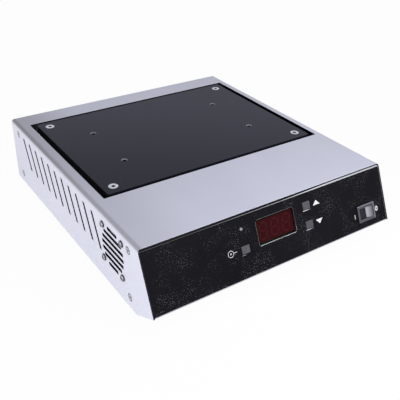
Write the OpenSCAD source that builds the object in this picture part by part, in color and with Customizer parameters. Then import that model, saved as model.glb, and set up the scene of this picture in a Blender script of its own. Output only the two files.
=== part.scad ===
// Bench preheating plate for circuit boards: a folded sheet case with a sloping
// control panel, a flat heating plate let into its top, and the electronics inside.
// Origin on the floor under the middle of the case. +X right, +Y to the rear, +Z up.

/* [Case] */
// Width across the sides of the cover
case_w = 250; // [240:1:290]
// Depth from the lower edge of the control panel to the rear
case_d = 286.5; // [282:0.5:320]
// Height of the case without its feet
case_h = 64; // [63:0.5:76]
// Thickness of the cover sheet
cover_sheet = 1.2; // [1:0.1:1.6]
// Outside radius of the two long folds of the cover
fold_r = 3; // [2:0.25:5]
// Thickness of the sheets of the base tray and the rear panel
base_sheet = 1.5; // [1:0.1:2]
// Height of the edges folded up along the sides of the base tray
tray_edge = 16.5; // [14:0.5:17]
// Clearance between parts that are put together
fit_gap = 0.3; // [0.2:0.05:0.5]
// Clearance around threads, pins and sliding stems
pin_gap = 0.05; // [0.02:0.01:0.1]

/* [Cover openings] */
// Number of slanted cooling slits on each side
slit_count = 11; // [5:1:12]
// Distance between neighbouring slits
slit_pitch = 15.5; // [12:0.1:16]
// Width of a slit
slit_w = 2.8; // [1:0.1:3]
// Distance from the rear to the upper end of the last slit
slit_rear = 32; // [26:0.5:40]
// Distance from the top of the case down to the slits
slit_drop = 8.6; // [7:0.1:14]
// Height of the lower ends of the slits above the case bottom
slit_rise = 26; // [20:0.5:36]
// Angle of the slits from the upright
slit_lean = 25.5; // [0:0.5:30]
// Distance from the front top edge back to the front cover screws
screw_front = 14.8; // [13:0.1:15]
// Distance from the rear to the rear cover screws
screw_rear = 17.4; // [12:0.1:24]
// Distance from the top of the case down to the upper cover screws
screw_drop = 9.6; // [9:0.1:14]
// Height of the lower cover screws above the case bottom
screw_rise = 10.1; // [7:0.1:11]

/* [Control panel] */
// How far the lower edge of the panel stands in front of its upper edge
panel_run = 21.7; // [16:0.1:26]
// Height of the lower edge of the panel above the case bottom
panel_foot = 14.3; // [12:0.1:16]
// Front to back length of the chamfer under the panel
chamfer_run = 26.3; // [24:0.1:30]
// Thickness of the panel metal
panel_t = 2; // [1.5:0.1:2.4]
// Thickness of the black front overlay
overlay_t = 0.4; // [0.2:0.05:0.5]
// Depth of the panel metal behind the front edges of the cover
panel_set = 0.5; // [0.3:0.1:1]
// Outside radius of the fold along the top of the panel
panel_fold = 2.5; // [2.4:0.1:3.5]
// Depth of the flange folded back from the top of the panel
panel_flange = 9; // [6:0.5:12]

/* [Controls] */
// Width of the display opening in the overlay
display_w = 40.3; // [38:0.1:44]
// Height of the display opening in the overlay
display_h = 22.4; // [20.5:0.1:24]
// Rim of bare metal left showing around the display
display_rim = 0.4; // [0:0.05:0.8]
// Sideways place of the display on the panel
display_u = -0.8; // [-4:0.1:4]
// Distance from the top edge of the panel down to the middle of the display
display_s = 21.4; // [20:0.1:24]
// Width of the display module
module_w = 37.6; // [34:0.1:38]
// Height of the display module
module_h = 19; // [17:0.1:20]
// Depth of the red filter behind the panel metal's face
filter_set = 1.6; // [1:0.1:2.4]
// Thickness of the red filter
filter_t = 1; // [0.6:0.1:1.5]
// Width of a button cap
cap_w = 7.8; // [7:0.1:8.2]
// Height of a button cap
cap_h = 6.5; // [6:0.1:7]
// Gap between a button cap and its opening
cap_gap = 0.7; // [0.3:0.05:0.7]
// How far a button cap stands out of the overlay
cap_proud = 0; // [0:0.1:1]
// Travel of a button
cap_travel = 0.8; // [0.3:0.1:1]
// Sideways place of the up and down buttons
step_u = 33.4; // [30:0.1:36]
// Distance from the top edge of the panel down to the up button
step_up_s = 13.7; // [12:0.1:16]
// Distance from the top edge of the panel down to the down button
step_down_s = 30.5; // [28:0.1:33]
// Sideways place of the mode button
mode_u = -34.6; // [-38:0.1:-32]
// Distance from the top edge of the panel down to the mode button
mode_s = 30.2; // [28:0.1:33]
// Sideways place of the status light
led_u = -35.2; // [-39:0.1:-31]
// Distance from the top edge of the panel down to the status light
led_s = 13; // [10:0.1:16]
// Radius of the status light
led_r = 1.5; // [1:0.1:2.5]

/* [Power switch] */
// Sideways place of the power switch
switch_u = 98.6; // [80:0.1:104]
// Distance from the top edge of the panel down to the power switch
switch_s = 39.4; // [30:0.1:41]
// Width of the switch bezel
bezel_w = 20.6; // [20:0.1:23]
// Height of the switch bezel
bezel_h = 15.4; // [14.5:0.1:17]
// How far the bezel stands out of the overlay
bezel_t = 1.9; // [1:0.1:3]
// Width of the switch body behind the panel
switch_w = 18.8; // [18.4:0.1:19]
// Height of the switch body behind the panel
switch_h = 12.6; // [12.4:0.1:13]
// Width of the window that the rocker moves in
rocker_window_w = 16.6; // [16.4:0.1:17]
// Height of the window that the rocker moves in
rocker_window_h = 10; // [9:0.1:10.4]
// Tilt of the rocker to each side of its middle
rocker_tilt = 11; // [6:0.5:12]
// Rise of each half of the rocker from its middle
rocker_rise = 9; // [5:0.5:10]
// Radius of the pivot pins of the rocker
rocker_pin_r = 1.3; // [0.8:0.1:1.6]

/* [Heating plate] */
// Width of the heating plate
plate_w = 220; // [215:0.5:225]
// Depth of the heating plate
plate_d = 158.8; // [150:0.2:162]
// Thickness of the heating plate
plate_t = 8; // [7:0.5:10]
// Radius of the corners of the heating plate
plate_corner = 1.5; // [0.5:0.25:4]
// How far the plate stands above the cover
plate_proud = 0.3; // [0:0.1:2]
// Gap between the plate and the sides of its opening
plate_side_gap = 5.6; // [3:0.1:6]
// Gap between the plate and the ends of its opening
plate_end_gap = 3.8; // [3:0.1:6]
// Width of the cover behind the plate opening
rear_border = 22.7; // [21.5:0.1:30]
// Sideways place of the plate
plate_x = 1.5; // [-2:0.1:2]
// Distance between the plate screws, side to side
plate_screw_x = 200.4; // [199.6:0.1:204]
// Distance between the plate screws, front to back
plate_screw_y = 138.5; // [120:0.1:142]
// Radius of the heads of the plate screws
plate_head_r = 4.2; // [4.2:0.1:5.2]
// Distance between the accessory holes, side to side
accessory_x = 141.5; // [100:0.1:150]
// Distance between the accessory holes, front to back
accessory_y = 65.2; // [40:0.1:80]
// Radius of the accessory holes at their thread
accessory_r = 2.1; // [1.6:0.05:2.6]
// Depth of the accessory holes
accessory_depth = 6; // [4:0.5:6.5]
// Radius of the chamfer at the mouth of the accessory holes
accessory_mouth = 2.9; // [2.7:0.05:3.4]

/* [Heater] */
// Width of the heating element and its clamp plate
element_w = 184; // [160:1:188]
// Depth of the heating element and its clamp plate
element_d = 138; // [120:1:142]
// Thickness of the heating element
element_t = 2; // [1:0.25:3]
// Thickness of the clamp plate
clamp_t = 3; // [2:0.25:4]
// Height of the floor of the reflector pan above the case bottom
pan_rise = 21; // [18:0.5:24]
// Thickness of the reflector pan sheet
pan_sheet = 1; // [0.6:0.1:1.5]
// Width by which the reflector pan passes the heating plate on each side
pan_margin = 1; // [0.5:0.1:2.5]
// Gap left between the rim of the pan and the heating plate
pan_gap = 4; // [2:0.5:8]
// Thickness of the insulation mat
mat_t = 12; // [6:0.5:14]
// Radius of the posts that carry the plate and the pan
post_r = 5; // [4.5:0.25:5.5]
// Radius of the temperature probe
probe_r = 1.5; // [1:0.1:2]
// Length of the probe inside the plate
probe_depth = 40; // [20:1:50]
// Sideways place of the temperature probe
probe_x = 22; // [10:1:40]

/* [Fan] */
// Width and height of the fan frame
fan_size = 40; // [38:0.5:40]
// Depth of the fan frame
fan_t = 10; // [10:0.5:15]
// Distance between the fan screws
fan_pitch = 32; // [31:0.1:33]
// Radius of the opening in the fan frame
fan_bore = 19; // [18:0.1:19.2]
// Distance from the front top edge back to the middle of the fan
fan_back = 41.3; // [41:0.1:46]
// Height of the middle of the fan above the case bottom
fan_rise = 38; // [37.5:0.1:40]
// Radius of the rotor hub
hub_r = 11.5; // [9:0.25:13]
// Number of fan blades
blade_count = 7; // [5:1:9]
// Pitch angle of the fan blades
blade_angle = 38; // [25:1:45]
// Radius of the fan shaft
shaft_r = 1; // [0.8:0.1:1.5]
// Number of grille slots in the cover, counted from the middle to one side
grille_half = 3; // [1:1:3]
// Distance between neighbouring grille slots
grille_pitch = 5.6; // [5:0.1:5.8]
// Height of a grille slot
grille_slot = 3.4; // [2:0.1:3.4]

/* [Rear] */
// Sideways place of the mains inlet
inlet_x = 82; // [60:1:90]
// Height of the middle of the mains inlet above the case bottom
inlet_rise = 34; // [28:0.5:40]
// Sideways place of the remote socket
remote_x = 22; // [0:1:30]
// Radius of the bore of the remote socket
remote_r = 1.8; // [1.3:0.1:2]
// Depth of the bore of the remote socket
remote_depth = 14; // [10:0.5:14]
// Number of cooling slots in the rear panel
rear_slots = 12; // [4:1:12]
// Distance between the cooling slots of the rear panel
rear_pitch = 7; // [6:0.25:7.5]

/* [Feet] */
// Height of the rubber feet
foot_h = 6; // [5:0.25:10]
// Radius of the rubber feet
foot_r = 9; // [8:0.25:11]
// Distance of the feet in from the sides of the case
foot_in_x = 24; // [22:0.5:30]
// Distance of the front feet behind the chamfer
foot_in_front = 18; // [14:0.5:24]
// Distance of the rear feet in front of the rear
foot_in_rear = 18; // [14:0.5:20]

/* [Electronics] */
// Width of the control board
control_w = 100; // [98:1:110]
// Height of the control board
control_h = 38; // [36:0.5:40]
// Depth of the control board behind the panel metal
control_gap = 6.1; // [5.8:0.1:7]
// Thickness of the circuit boards
board_t = 1.6; // [1:0.1:2]
// Width of the power board
power_w = 130; // [128:1:136]
// Depth of the power board
power_d = 50; // [48:0.5:52]
// Sideways place of the power board
power_x = -14; // [-18:1:0]
// Distance from the front top edge back to the middle of the power board
power_back = 44; // [42:0.5:46]
// Height of the posts under the power board
power_post = 8; // [5:0.5:10]
// Radius of the internal leads
lead_r = 1.2; // [0.8:0.1:1.4]

/* [Fasteners] */
// Radius of an M3 thread
m3_r = 1.5; // [1.4:0.05:1.6]
// Radius of the head of a flat M3 screw
m3_flat_r = 2.6; // [2.4:0.05:2.65]
// Radius of the head of a round M3 screw
m3_head_r = 3; // [2.5:0.1:3]
// Height of the head of a round M3 screw
m3_head_h = 1.8; // [1.2:0.1:2]
// Radius of an M4 thread
m4_r = 2; // [1.8:0.05:2.1]
// Radius of the head of an M4 screw
m4_head_r = 3.8; // [3.4:0.1:4]
// Height of the head of an M4 screw
m4_head_h = 2.4; // [1.8:0.1:2.6]
// Radius of an M5 thread
m5_r = 2.5; // [2.3:0.05:2.6]
// Clearance of a hole that a screw passes through
hole_gap = 0.15; // [0.1:0.05:0.3]

/* [Hidden] */
$fn = 48;

// Main levels and edges of the case
zb = foot_h;
zt = foot_h + case_h;
z_foot = zb + panel_foot;
y_rear = case_d / 2;
y_foot = -case_d / 2;
y_top = y_foot + panel_run;
y_chamfer = y_foot + chamfer_run;
lean = atan2(panel_run, case_h - panel_foot);
slope = norm([panel_run, case_h - panel_foot]);
in_x = case_w / 2 - cover_sheet;
in_top = zt - cover_sheet;
floor_z = zb + base_sheet;
over = 1;

// Y of the plane that lies a given depth behind the sloping front, at height z
function y_in(z, depth) = y_top - (zt - z) * tan(lean) + depth / cos(lean);

// Point of the frame for a place u across, s down and w out of the sloping front
function panel_point(u, s, w) = [
    u,
    y_top - s * sin(lean) - w * cos(lean),
    zt - s * cos(lean) + w * sin(lean)
];

// Levels of the control panel, measured out of the sloping front
face_w = -panel_set;
skin_w = face_w + overlay_t;
back_w = face_w - panel_t;
control_w0 = back_w - control_gap;

// Fold along the top of the control panel
flange_z = in_top - fit_gap;
fold_z = flange_z - panel_fold;
fold_y = y_in(fold_z, panel_set + panel_fold);
fold_s = (y_top - fold_y) * sin(lean) + (zt - fold_z) * cos(lean);
overlay_s = fold_s + fit_gap;
panel_end = slope - fit_gap;
panel_half = in_x - fit_gap;

// Cover screws on one side, as pairs of y and z
cover_screw_yz = [
    for (y = [y_top + screw_front, y_rear - screw_rear], z = [zt - screw_drop, zb + screw_rise]) [y, z]
];
cover_screw_length = 7;
ear_rim = 5.4;

// Heating plate and the stack under it
window_w = plate_w + 2 * plate_side_gap;
window_d = plate_d + 2 * plate_end_gap;
plate_y = y_rear - rear_border - window_d / 2;
plate_top = zt + plate_proud;
plate_z = plate_top - plate_t;
element_z = plate_z - element_t;
clamp_z = element_z - clamp_t;
pan_z = zb + pan_rise;
pan_w = plate_w + 2 * pan_margin;
pan_d = plate_d + 2 * pan_margin;
mat_z = pan_z + pan_sheet;
lead_z = mat_z + mat_t + 6;
standoff_h = plate_z - mat_z;
screw_bite = 14;
plate_screw_length = plate_t + screw_bite;
bolt_bite = 10;
bolt_r = m5_r - 0.3;
stud_length = 9;
post_xy = [
    for (x = [-1, 1], y = [-1, 1])
        [plate_x + x * plate_screw_x / 2, plate_y + y * plate_screw_y / 2]
];
accessory_xy = [
    for (x = [-1, 1], y = [-1, 1])
        [plate_x + x * accessory_x / 2, plate_y + y * accessory_y / 2]
];
clamp_edge = 9;
clamp_bite = 5;
clamp_xy = [
    for (x = [-1, 0, 1], y = [-1, 1])
        [plate_x + x * (element_w / 2 - clamp_edge), plate_y + y * (element_d / 2 - clamp_edge)]
];
tab_w = 6.3;
tab_t = 0.8;
tab_out = 7;
tab_x = 30;
cutout_r = 8;
cutout_h = 6;
strap_w = 32;
strap_d = 10;
strap_t = 0.8;
cutout_tab_x = 4;
cutout_tab = 6;

// Feet
foot_xy = [
    for (x = [-1, 1], y = [y_chamfer + foot_in_front, y_rear - foot_in_rear])
        [x * (case_w / 2 - foot_in_x), y]
];
foot_floor = 2.4;
nut_h = 2.4;
m3_nut_r = 3.1;
m4_nut_r = 4;

// Fan
fan_y = y_top + fan_back;
fan_z = zb + fan_rise;
grille_r = fan_bore - 0.2;
slit_land = 1;
fan_screw_length = cover_sheet + fan_t + nut_h + 1;
spider_t = 1.5;
bearing_r = shaft_r + 1.5;
rotor_gap = 0.8;

// Power board and its place in the case
power_y = y_top + power_back;
power_z = floor_z + power_post;
power_top = power_z + board_t;
board_inset = 4;
power_holes = [
    for (x = [-1, 1], y = [-1, 1])
        [power_x + x * (power_w / 2 - board_inset), power_y + y * (power_d / 2 - board_inset)]
];
block_w = 10;
block_h = 14;
block_ports = 6;
block_pitch = 7;
block_d = block_ports * block_pitch + 2;
board_end = 11;
part_gap = 1.5;
bend_r = 6;
sink_w = 22;
sink_d = 38;
sink_h = 28;
sink_base = 4;
triac_t = 4.5;
triac_w = 10;
triac_h = 16;
triac_rise = 5;
relay_w = 19;
relay_d = 15.6;
relay_h = 15.5;
relay_front = 10;
can_r = 5;
can_h = 17;
can_gap = 0.5;
can_back = 12;
fuse_w = 9;
fuse_d = 26;
fuse_h = 11;
fuse_base = 5;
clip_d = 6;
glass_r = 2.6;
middle_w = max(relay_w, 4 * can_r + can_gap);
core_w = power_w - 2 * board_end - sink_w - triac_t - middle_w - fuse_w - block_w - 4 * part_gap;
core_d = 16;
core_h = 30;
core_limb = 7;
core_back = 2;
coil_d = 30;
coil_h = 22;
sink_x = power_x - power_w / 2 + board_end + sink_w / 2;
core_x = sink_x + sink_w / 2 + triac_t + part_gap + core_w / 2;
middle_x = core_x + core_w / 2 + part_gap + middle_w / 2;
fuse_x = middle_x + middle_w / 2 + part_gap + fuse_w / 2;
block_x = fuse_x + fuse_w / 2 + part_gap + block_w / 2;
header_w = 22;
header_d = 5;
header_h = 5;
header_left = 6;
header_x = power_x - header_left;
power_header_y = power_y - power_d / 2 + 3;
header_s = 38;

// Control board
control_s = 5.5 + control_h / 2;
board_hole_u = control_w / 2 - board_inset;
board_hole_s = control_h / 2 - board_inset;
key_us = [[step_u, step_up_s], [step_u, step_down_s], [mode_u, mode_s]];
key_size = 6;
key_h = 3.6;
stem_r = 1.7;
flange_out = 1;
flange_t = 0.8;
cap_w0 = skin_w + cap_proud;
switch_depth = 13;
switch_tab = 7;
switch_tab_u = 4.5;
pivot_drop = 3.5;
valley_rise = 2.9;

// Rear fittings
inlet_z = zb + inlet_rise;
inlet_w = 29;
inlet_h = 21.5;
inlet_flange_w = 49;
inlet_flange_h = 24;
inlet_flange_t = 2.5;
inlet_hole = 20;
recess_w = 24.6;
recess_h = 16.8;
recess_depth = 16;
recess_cut = 4.5;
inlet_floor = 2.5;
pin_len = 14;
inlet_tab = 4;
inlet_tab_z = inlet_flange_t - recess_depth - inlet_floor - inlet_tab;
inlet_pin_xz = [[-7, -2], [7, -2], [0, 2]];
remote_bush_r = 4;
remote_out = 3.2;
remote_nut_t = 2;
vent_in = 24;
vent_drop = 6;
vent_length = 28;
vent_w = 3;
earth_x = inlet_x - 38;
earth_y = y_rear - 12;

// Flat shapes

// Rectangle with round corners
module rounded(w, d, r) {
    square([w - 2 * r, d], center = true);
    square([w, d - 2 * r], center = true);
    for (x = [-1, 1], y = [-1, 1])
        translate([x * (w / 2 - r), y * (d / 2 - r)]) circle(r);
}

// Slot with round ends, along its first axis
module pill(length, w) {
    square([length - w, w], center = true);
    for (x = [-1, 1])
        translate([x * (length - w) / 2, 0]) circle(w / 2);
}

// Upright rectangle on the axis with its two upper corners round
module arch(w, h, r) {
    translate([-w / 2, 0]) square([w, h - r]);
    translate([-w / 2 + r, 0]) square([w - 2 * r, h]);
    for (x = [-1, 1])
        translate([x * (w / 2 - r), h - r]) circle(r);
}

// Strip of even thickness along a line of points
module strip(points, t) {
    for (i = [0 : len(points) - 2]) {
        step = points[i + 1] - points[i];
        translate(points[i]) rotate(atan2(step[1], step[0])) translate([0, -t / 2]) square([norm(step), t]);
    }
    for (i = [1 : 1 : len(points) - 2])
        translate(points[i]) circle(t / 2);
}

// Placing

// A drawing of y and z made solid along X, about its middle
module along_x(w) rotate([90, 0, 90]) linear_extrude(w, center = true) children();

// A drawing of x and z made solid along Y, about its middle
module along_y(d) rotate([90, 0, 0]) linear_extrude(d, center = true) children();

// A place u across and s down the sloping front, with +Z out of it
module on_panel(u, s, w) translate([0, y_top, zt]) rotate([90 - lean, 0, 0])
    translate([u, -s, w]) children();

// A place on a side of the cover, with +Z out of it
module on_side(side, y, z) translate([side * case_w / 2, y, z]) rotate([0, side * 90, 0]) children();

// A place on the outside of the rear panel, with +Z out of it
module on_rear(x, z) translate([x, y_rear, z]) rotate([90, 0, 180]) children();

// What is left of a part inside the cover, a clearance below its top
module inside_cover() intersection() {
    children();
    along_y(2 * case_d) arch(2 * in_x, flange_z, fold_r - cover_sheet);
}

// Fasteners, each with the seat of its head at z = 0 and its thread along -Z

// Flat headed screw with a hexagon socket, flush with z = 0
module flat_screw(r, head_r, length) difference() {
    rotate_extrude() polygon([[0, 0], [head_r, 0], [r, r - head_r], [r, -length], [0, -length]]);
    translate([0, 0, -r * 0.6]) cylinder(r = r * 0.72, h = r, $fn = 6);
}

// Hole and countersink for a flat headed screw
module flat_seat(r, head_r, depth) {
    rotate_extrude() polygon([
        [0, over], [head_r + pin_gap + over, over], [r + pin_gap, r - head_r],
        [r + pin_gap, -depth], [0, -depth]
    ]);
}

// Round headed screw with a cross slot
module round_screw(r, head_r, head_h, length) difference() {
    rotate_extrude() polygon([
        [0, head_h], [head_r * 0.6, head_h], [head_r * 0.9, head_h * 0.7],
        [head_r, head_h * 0.3], [head_r, 0], [r, 0], [r, -length], [0, -length]
    ]);
    for (turn = [0, 90])
        rotate(turn) translate([-head_r * 0.55, -head_r * 0.11, head_h * 0.45])
            cube([head_r * 1.1, head_r * 0.22, head_h]);
}

// Hexagon nut on z = 0
module nut(r, nut_r, h) difference() {
    cylinder(r = nut_r, h = h, $fn = 6);
    translate([0, 0, -over]) cylinder(r = r + pin_gap, h = h + 2 * over);
}

// Leads

// Points of a line with its corners rounded off, n steps to a corner
function bent(p, n) = concat(
    [p[0]],
    [for (i = [1 : len(p) - 2], k = [0 : n]) corner(p, i, k / n)],
    [p[len(p) - 1]]
);

// One point of the rounded corner at point i
function corner(p, i, t) =
    let (a = leg(p, i, i - 1), c = leg(p, i, i + 1))
    a * (1 - t) ^ 2 + p[i] * 2 * t * (1 - t) + c * t ^ 2;

// Where the rounding of corner i begins on its way to point j
function leg(p, i, j) =
    let (way = p[j] - p[i], share = j == 0 || j == len(p) - 1 ? 0.9 : 0.45)
    p[i] + way * min(bend_r / norm(way), share);

// Direction of a list of points at point i
function heading(p, i) =
    let (d = p[min(i + 1, len(p) - 1)] - p[max(i - 1, 0)])
    d / norm(d);

// Directions square to the path from point i on, each turned as little as can be from the one before
function normals(path, i, last) =
    i == len(path) ? [] :
    let (t = heading(path, i), flat = last - t * (last * t), a = flat / norm(flat))
    concat([a], normals(path, i + 1, a));

// Round lead along a list of points
module lead(points, r) {
    sides = 8;
    path = bent(points, 4);
    across = normals(path, 0, [0.31, 0.22, 0.93]);
    rings = [
        for (i = [0 : len(path) - 1])
            let (a = across[i], b = cross(heading(path, i), a))
            for (k = [0 : sides - 1])
                path[i] + r * (a * cos(k * 360 / sides) + b * sin(k * 360 / sides))
    ];
    last = (len(path) - 1) * sides;
    walls = [
        for (i = [0 : len(path) - 2], k = [0 : sides - 1])
            let (n = (k + 1) % sides)
            [i * sides + n, i * sides + k, (i + 1) * sides + k, (i + 1) * sides + n]
    ];
    ends = [[for (k = [0 : sides - 1]) k], [for (k = [sides - 1 : -1 : 0]) last + k]];
    polyhedron(rings, concat(walls, ends));
}

// Case

// Outline of the case seen from the side
module side_outline() polygon([
    [y_rear, zb], [y_rear, zt], [y_top, zt], [y_foot, z_foot], [y_chamfer, zb]
]);

// Slits of one side of the cover, drawn in y and z, as many as lie behind the place front_y
module slits(front_y) {
    length = (case_h - slit_drop - slit_rise) / cos(slit_lean);
    reach = length * sin(slit_lean) + slit_w / 2;
    for (i = [0 : slit_count - 1]) {
        y = y_rear - slit_rear - i * slit_pitch;
        if (y - reach > front_y)
            translate([y, zt - slit_drop]) rotate(-slit_lean)
                translate([0, -length / 2]) rotate(90) pill(length, slit_w);
    }
}

// Slots of the fan grille, drawn in y and z
module grille() for (i = [-grille_half : grille_half])
    translate([fan_y, fan_z + i * grille_pitch])
        pill(2 * sqrt(grille_r ^ 2 - (i * grille_pitch) ^ 2), grille_slot);

// Folded sheet that makes the top and both sides
module cover() color("Gainsboro") difference() {
    intersection() {
        along_y(2 * case_d) difference() {
            translate([0, zb]) arch(case_w, case_h, fold_r);
            translate([0, -over]) arch(2 * in_x, in_top + over, fold_r - cover_sheet);
        }
        along_x(case_w + 2 * over) side_outline();
    }
    translate([plate_x - window_w / 2, plate_y - window_d / 2, in_top - over])
        cube([window_w, window_d, cover_sheet + 2 * over]);
    translate([-in_x - cover_sheet / 2, 0, 0]) along_x(2 * cover_sheet) slits(fan_y + grille_r + slit_land);
    translate([in_x + cover_sheet / 2, 0, 0]) along_x(2 * cover_sheet) slits(plate_y - plate_d / 2);
    translate([-in_x - cover_sheet / 2, 0, 0]) along_x(2 * cover_sheet) grille();
    for (side = [-1, 1], p = cover_screw_yz)
        on_side(side, p[0], p[1]) flat_seat(m3_r, m3_flat_r, cover_sheet + over);
    for (y = [-1, 1], z = [-1, 1])
        on_side(-1, fan_y + y * fan_pitch / 2, fan_z + z * fan_pitch / 2)
            translate([0, 0, -cover_sheet - over]) cylinder(r = m3_r + hole_gap, h = cover_sheet + 2 * over);
}

// Holes through the floor of the tray at a list of places
module floor_holes(places, r) for (p = places)
    translate([p[0], p[1], zb - over]) cylinder(r = r, h = base_sheet + 2 * over);

// Cooling slots in the floor under the heating plate
module floor_slots() {
    slot_length = 60;
    slot_w = 4;
    columns = 2;
    rows = 8;
    for (x = [-1, 1], i = [0 : rows - 1])
        translate([plate_x + x * plate_w / (2 * columns), plate_y + (i - (rows - 1) / 2) * 14, zb - over])
            linear_extrude(base_sheet + 2 * over) pill(slot_length, slot_w);
}

// Folded sheet that makes the floor, its side edges and the chamfer under the panel
module base_tray() color("LightSteelBlue") {
    chamfer_angle = atan2(panel_foot, chamfer_run);
    lip = norm([panel_foot, chamfer_run]) - panel_set - panel_t - 2 * fit_gap;
    edge_d = y_rear - base_sheet - fit_gap - y_chamfer;
    difference() {
        union() {
            along_x(2 * in_x) {
                translate([y_chamfer, zb]) square([y_rear - y_chamfer, base_sheet]);
                translate([y_chamfer, zb]) rotate(180 - chamfer_angle) translate([0, -base_sheet])
                    square([lip, base_sheet]);
            }
            for (side = [-1, 1])
                translate([side * (in_x - base_sheet / 2) - base_sheet / 2, y_chamfer, zb])
                    cube([base_sheet, edge_d, tray_edge]);
        }
        translate([-in_x - over, fan_y - fan_size / 2 - fit_gap, fan_z - fan_size / 2 - fit_gap])
            cube([fan_t, fan_size + 2 * fit_gap, fan_size]);
        floor_slots();
        floor_holes(foot_xy, m4_r + hole_gap);
        floor_holes(post_xy, m5_r + hole_gap);
        floor_holes(power_holes, m3_r + hole_gap);
        for (side = [-1, 1], p = cover_screw_yz)
            if (p[1] < zb + tray_edge) on_side(side, p[0], p[1]) screw_way();
    }
}

// Tapped hole behind a cover screw
module screw_way() translate([0, 0, -cover_screw_length - over])
    cylinder(r = m3_r + pin_gap, h = cover_screw_length + over);

// Folded section of the front panel, drawn in y and z, with its fold in short flats
module panel_section() {
    flats = 6;
    turn = 90 - lean;
    under = flange_z - panel_t;
    foot_out = panel_point(0, panel_end, face_w);
    foot_in = panel_point(0, panel_end, back_w);
    polygon(concat(
        [for (k = [0 : flats])
            [fold_y + panel_fold * cos(180 - lean - turn * k / flats),
             fold_z + panel_fold * sin(180 - lean - turn * k / flats)]],
        [[fold_y + panel_flange, flange_z], [fold_y + panel_flange, under],
         [y_in(under, panel_set + panel_t), under], [foot_in[1], foot_in[2]], [foot_out[1], foot_out[2]]]
    ));
}

// Openings for the controls, made solid through the panel; rim is taken off around the display
module control_openings(rim) {
    depth = 4 * panel_t;
    on_panel(display_u, display_s, -depth / 2)
        linear_extrude(depth) rounded(display_w - 2 * rim, display_h - 2 * rim, 1.6);
    for (p = key_us)
        on_panel(p[0], p[1], -depth / 2)
            linear_extrude(depth) rounded(cap_w + 2 * cap_gap, cap_h + 2 * cap_gap, 0.4);
    on_panel(led_u, led_s, -depth / 2) cylinder(r = led_r + 0.1, h = depth);
    on_panel(switch_u, switch_s, -depth / 2)
        linear_extrude(depth) square([switch_w + 2 * fit_gap, switch_h + 2 * fit_gap], center = true);
}

// Folded metal panel behind the overlay, with an ear at each end for the cover screws
module front_panel() color("Silver") {
    ear_z0 = zt - screw_drop - ear_rim;
    ear_z1 = zt - fold_r - fit_gap;
    ear_y = y_top + screw_front + ear_rim;
    middle = panel_set + panel_t / 2;
    inside_cover() difference() {
        union() {
            along_x(2 * panel_half) panel_section();
            for (side = [-1, 1])
                translate([side * (panel_half - panel_t / 2), 0, 0]) along_x(panel_t) polygon([
                    [y_in(ear_z0, middle), ear_z0], [ear_y, ear_z0],
                    [ear_y, ear_z1], [y_in(ear_z1, middle), ear_z1]
                ]);
        }
        control_openings(display_rim);
        for (side = [-1, 1])
            on_side(side, y_top + screw_front, zt - screw_drop) screw_way();
    }
}

// Black foil on the front of the panel
module panel_overlay() color("#1b1b1f") difference() {
    on_panel(0, (overlay_s + panel_end) / 2, face_w)
        linear_extrude(overlay_t) rounded(2 * panel_half, panel_end - overlay_s, 1.2);
    control_openings(0);
}

// Sheet that closes the rear
module rear_panel() color("LightSteelBlue") inside_cover() difference() {
    translate([-in_x, y_rear - base_sheet, floor_z]) cube([2 * in_x, base_sheet, in_top - floor_z]);
    on_rear(inlet_x, inlet_z) translate([0, 0, -base_sheet - over]) linear_extrude(base_sheet + 2 * over)
        square([inlet_w + 2 * fit_gap, inlet_h + 2 * fit_gap], center = true);
    for (x = [-1, 1])
        on_rear(inlet_x + x * inlet_hole, inlet_z) translate([0, 0, -base_sheet - over])
            cylinder(r = m3_r + pin_gap, h = base_sheet + 2 * over);
    on_rear(remote_x, inlet_z) translate([0, 0, -base_sheet - over])
        cylinder(r = remote_bush_r + pin_gap, h = base_sheet + 2 * over);
    rear_vents();
}

// Angles in the two rear corners, welded to the rear panel, that take the upper cover screws
module rear_brackets() color("LightSteelBlue") {
    low = zt - screw_drop - ear_rim;
    height = zt - fold_r - fit_gap - low;
    reach = screw_rear + ear_rim - base_sheet;
    for (side = [-1, 1])
        difference() {
            union() {
                translate([side * (in_x - base_sheet / 2), y_rear - base_sheet - reach, low])
                    translate([-base_sheet / 2, 0, 0])
                    cube([base_sheet, reach, height]);
                translate([side * (in_x - ear_rim) - ear_rim, y_rear - 2 * base_sheet, low])
                    cube([2 * ear_rim, base_sheet, height]);
            }
            on_side(side, y_rear - screw_rear, zt - screw_drop) screw_way();
        }
}

// Upright cooling slots on the side of the rear panel away from the inlet
module rear_vents() for (i = [0 : rear_slots - 1])
    on_rear(-in_x + vent_in + i * rear_pitch, inlet_z - vent_drop) translate([0, 0, -base_sheet - over])
        linear_extrude(base_sheet + 2 * over) rotate(90) pill(vent_length, vent_w);

// Flat screws that hold the cover to the tray and the panels
module cover_screws() color("WhiteSmoke") for (side = [-1, 1], p = cover_screw_yz)
    on_side(side, p[0], p[1]) flat_screw(m3_r, m3_flat_r, cover_screw_length);

// Four feet with a pocket for their screws
module rubber_feet() color("#222222") for (p = foot_xy)
    translate([p[0], p[1], 0]) difference() {
        rotate_extrude() polygon([[0, 0], [foot_r - 1, 0], [foot_r, foot_h], [0, foot_h]]);
        translate([0, 0, -over]) cylinder(r = m4_head_r + fit_gap, h = foot_h - foot_floor + over);
        translate([0, 0, -over]) cylinder(r = m4_r + hole_gap, h = foot_h + 2 * over);
    }

// Screws through the feet and the floor
module foot_screws() color("Silver") for (p = foot_xy)
    translate([p[0], p[1], foot_h - foot_floor]) rotate([180, 0, 0])
        round_screw(m4_r, m4_head_r, m4_head_h, foot_floor + base_sheet + nut_h + 1);

// Nuts of the foot screws, on the floor
module foot_nuts() color("Silver") for (p = foot_xy)
    translate([p[0], p[1], floor_z]) nut(m4_r, m4_nut_r, nut_h);

// Heating

// Blind hole from the underside of the plate at a list of places
module plate_blind(places, r, depth) for (p = places)
    translate([p[0], p[1], plate_z - over]) cylinder(r = r, h = depth + over);

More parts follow.
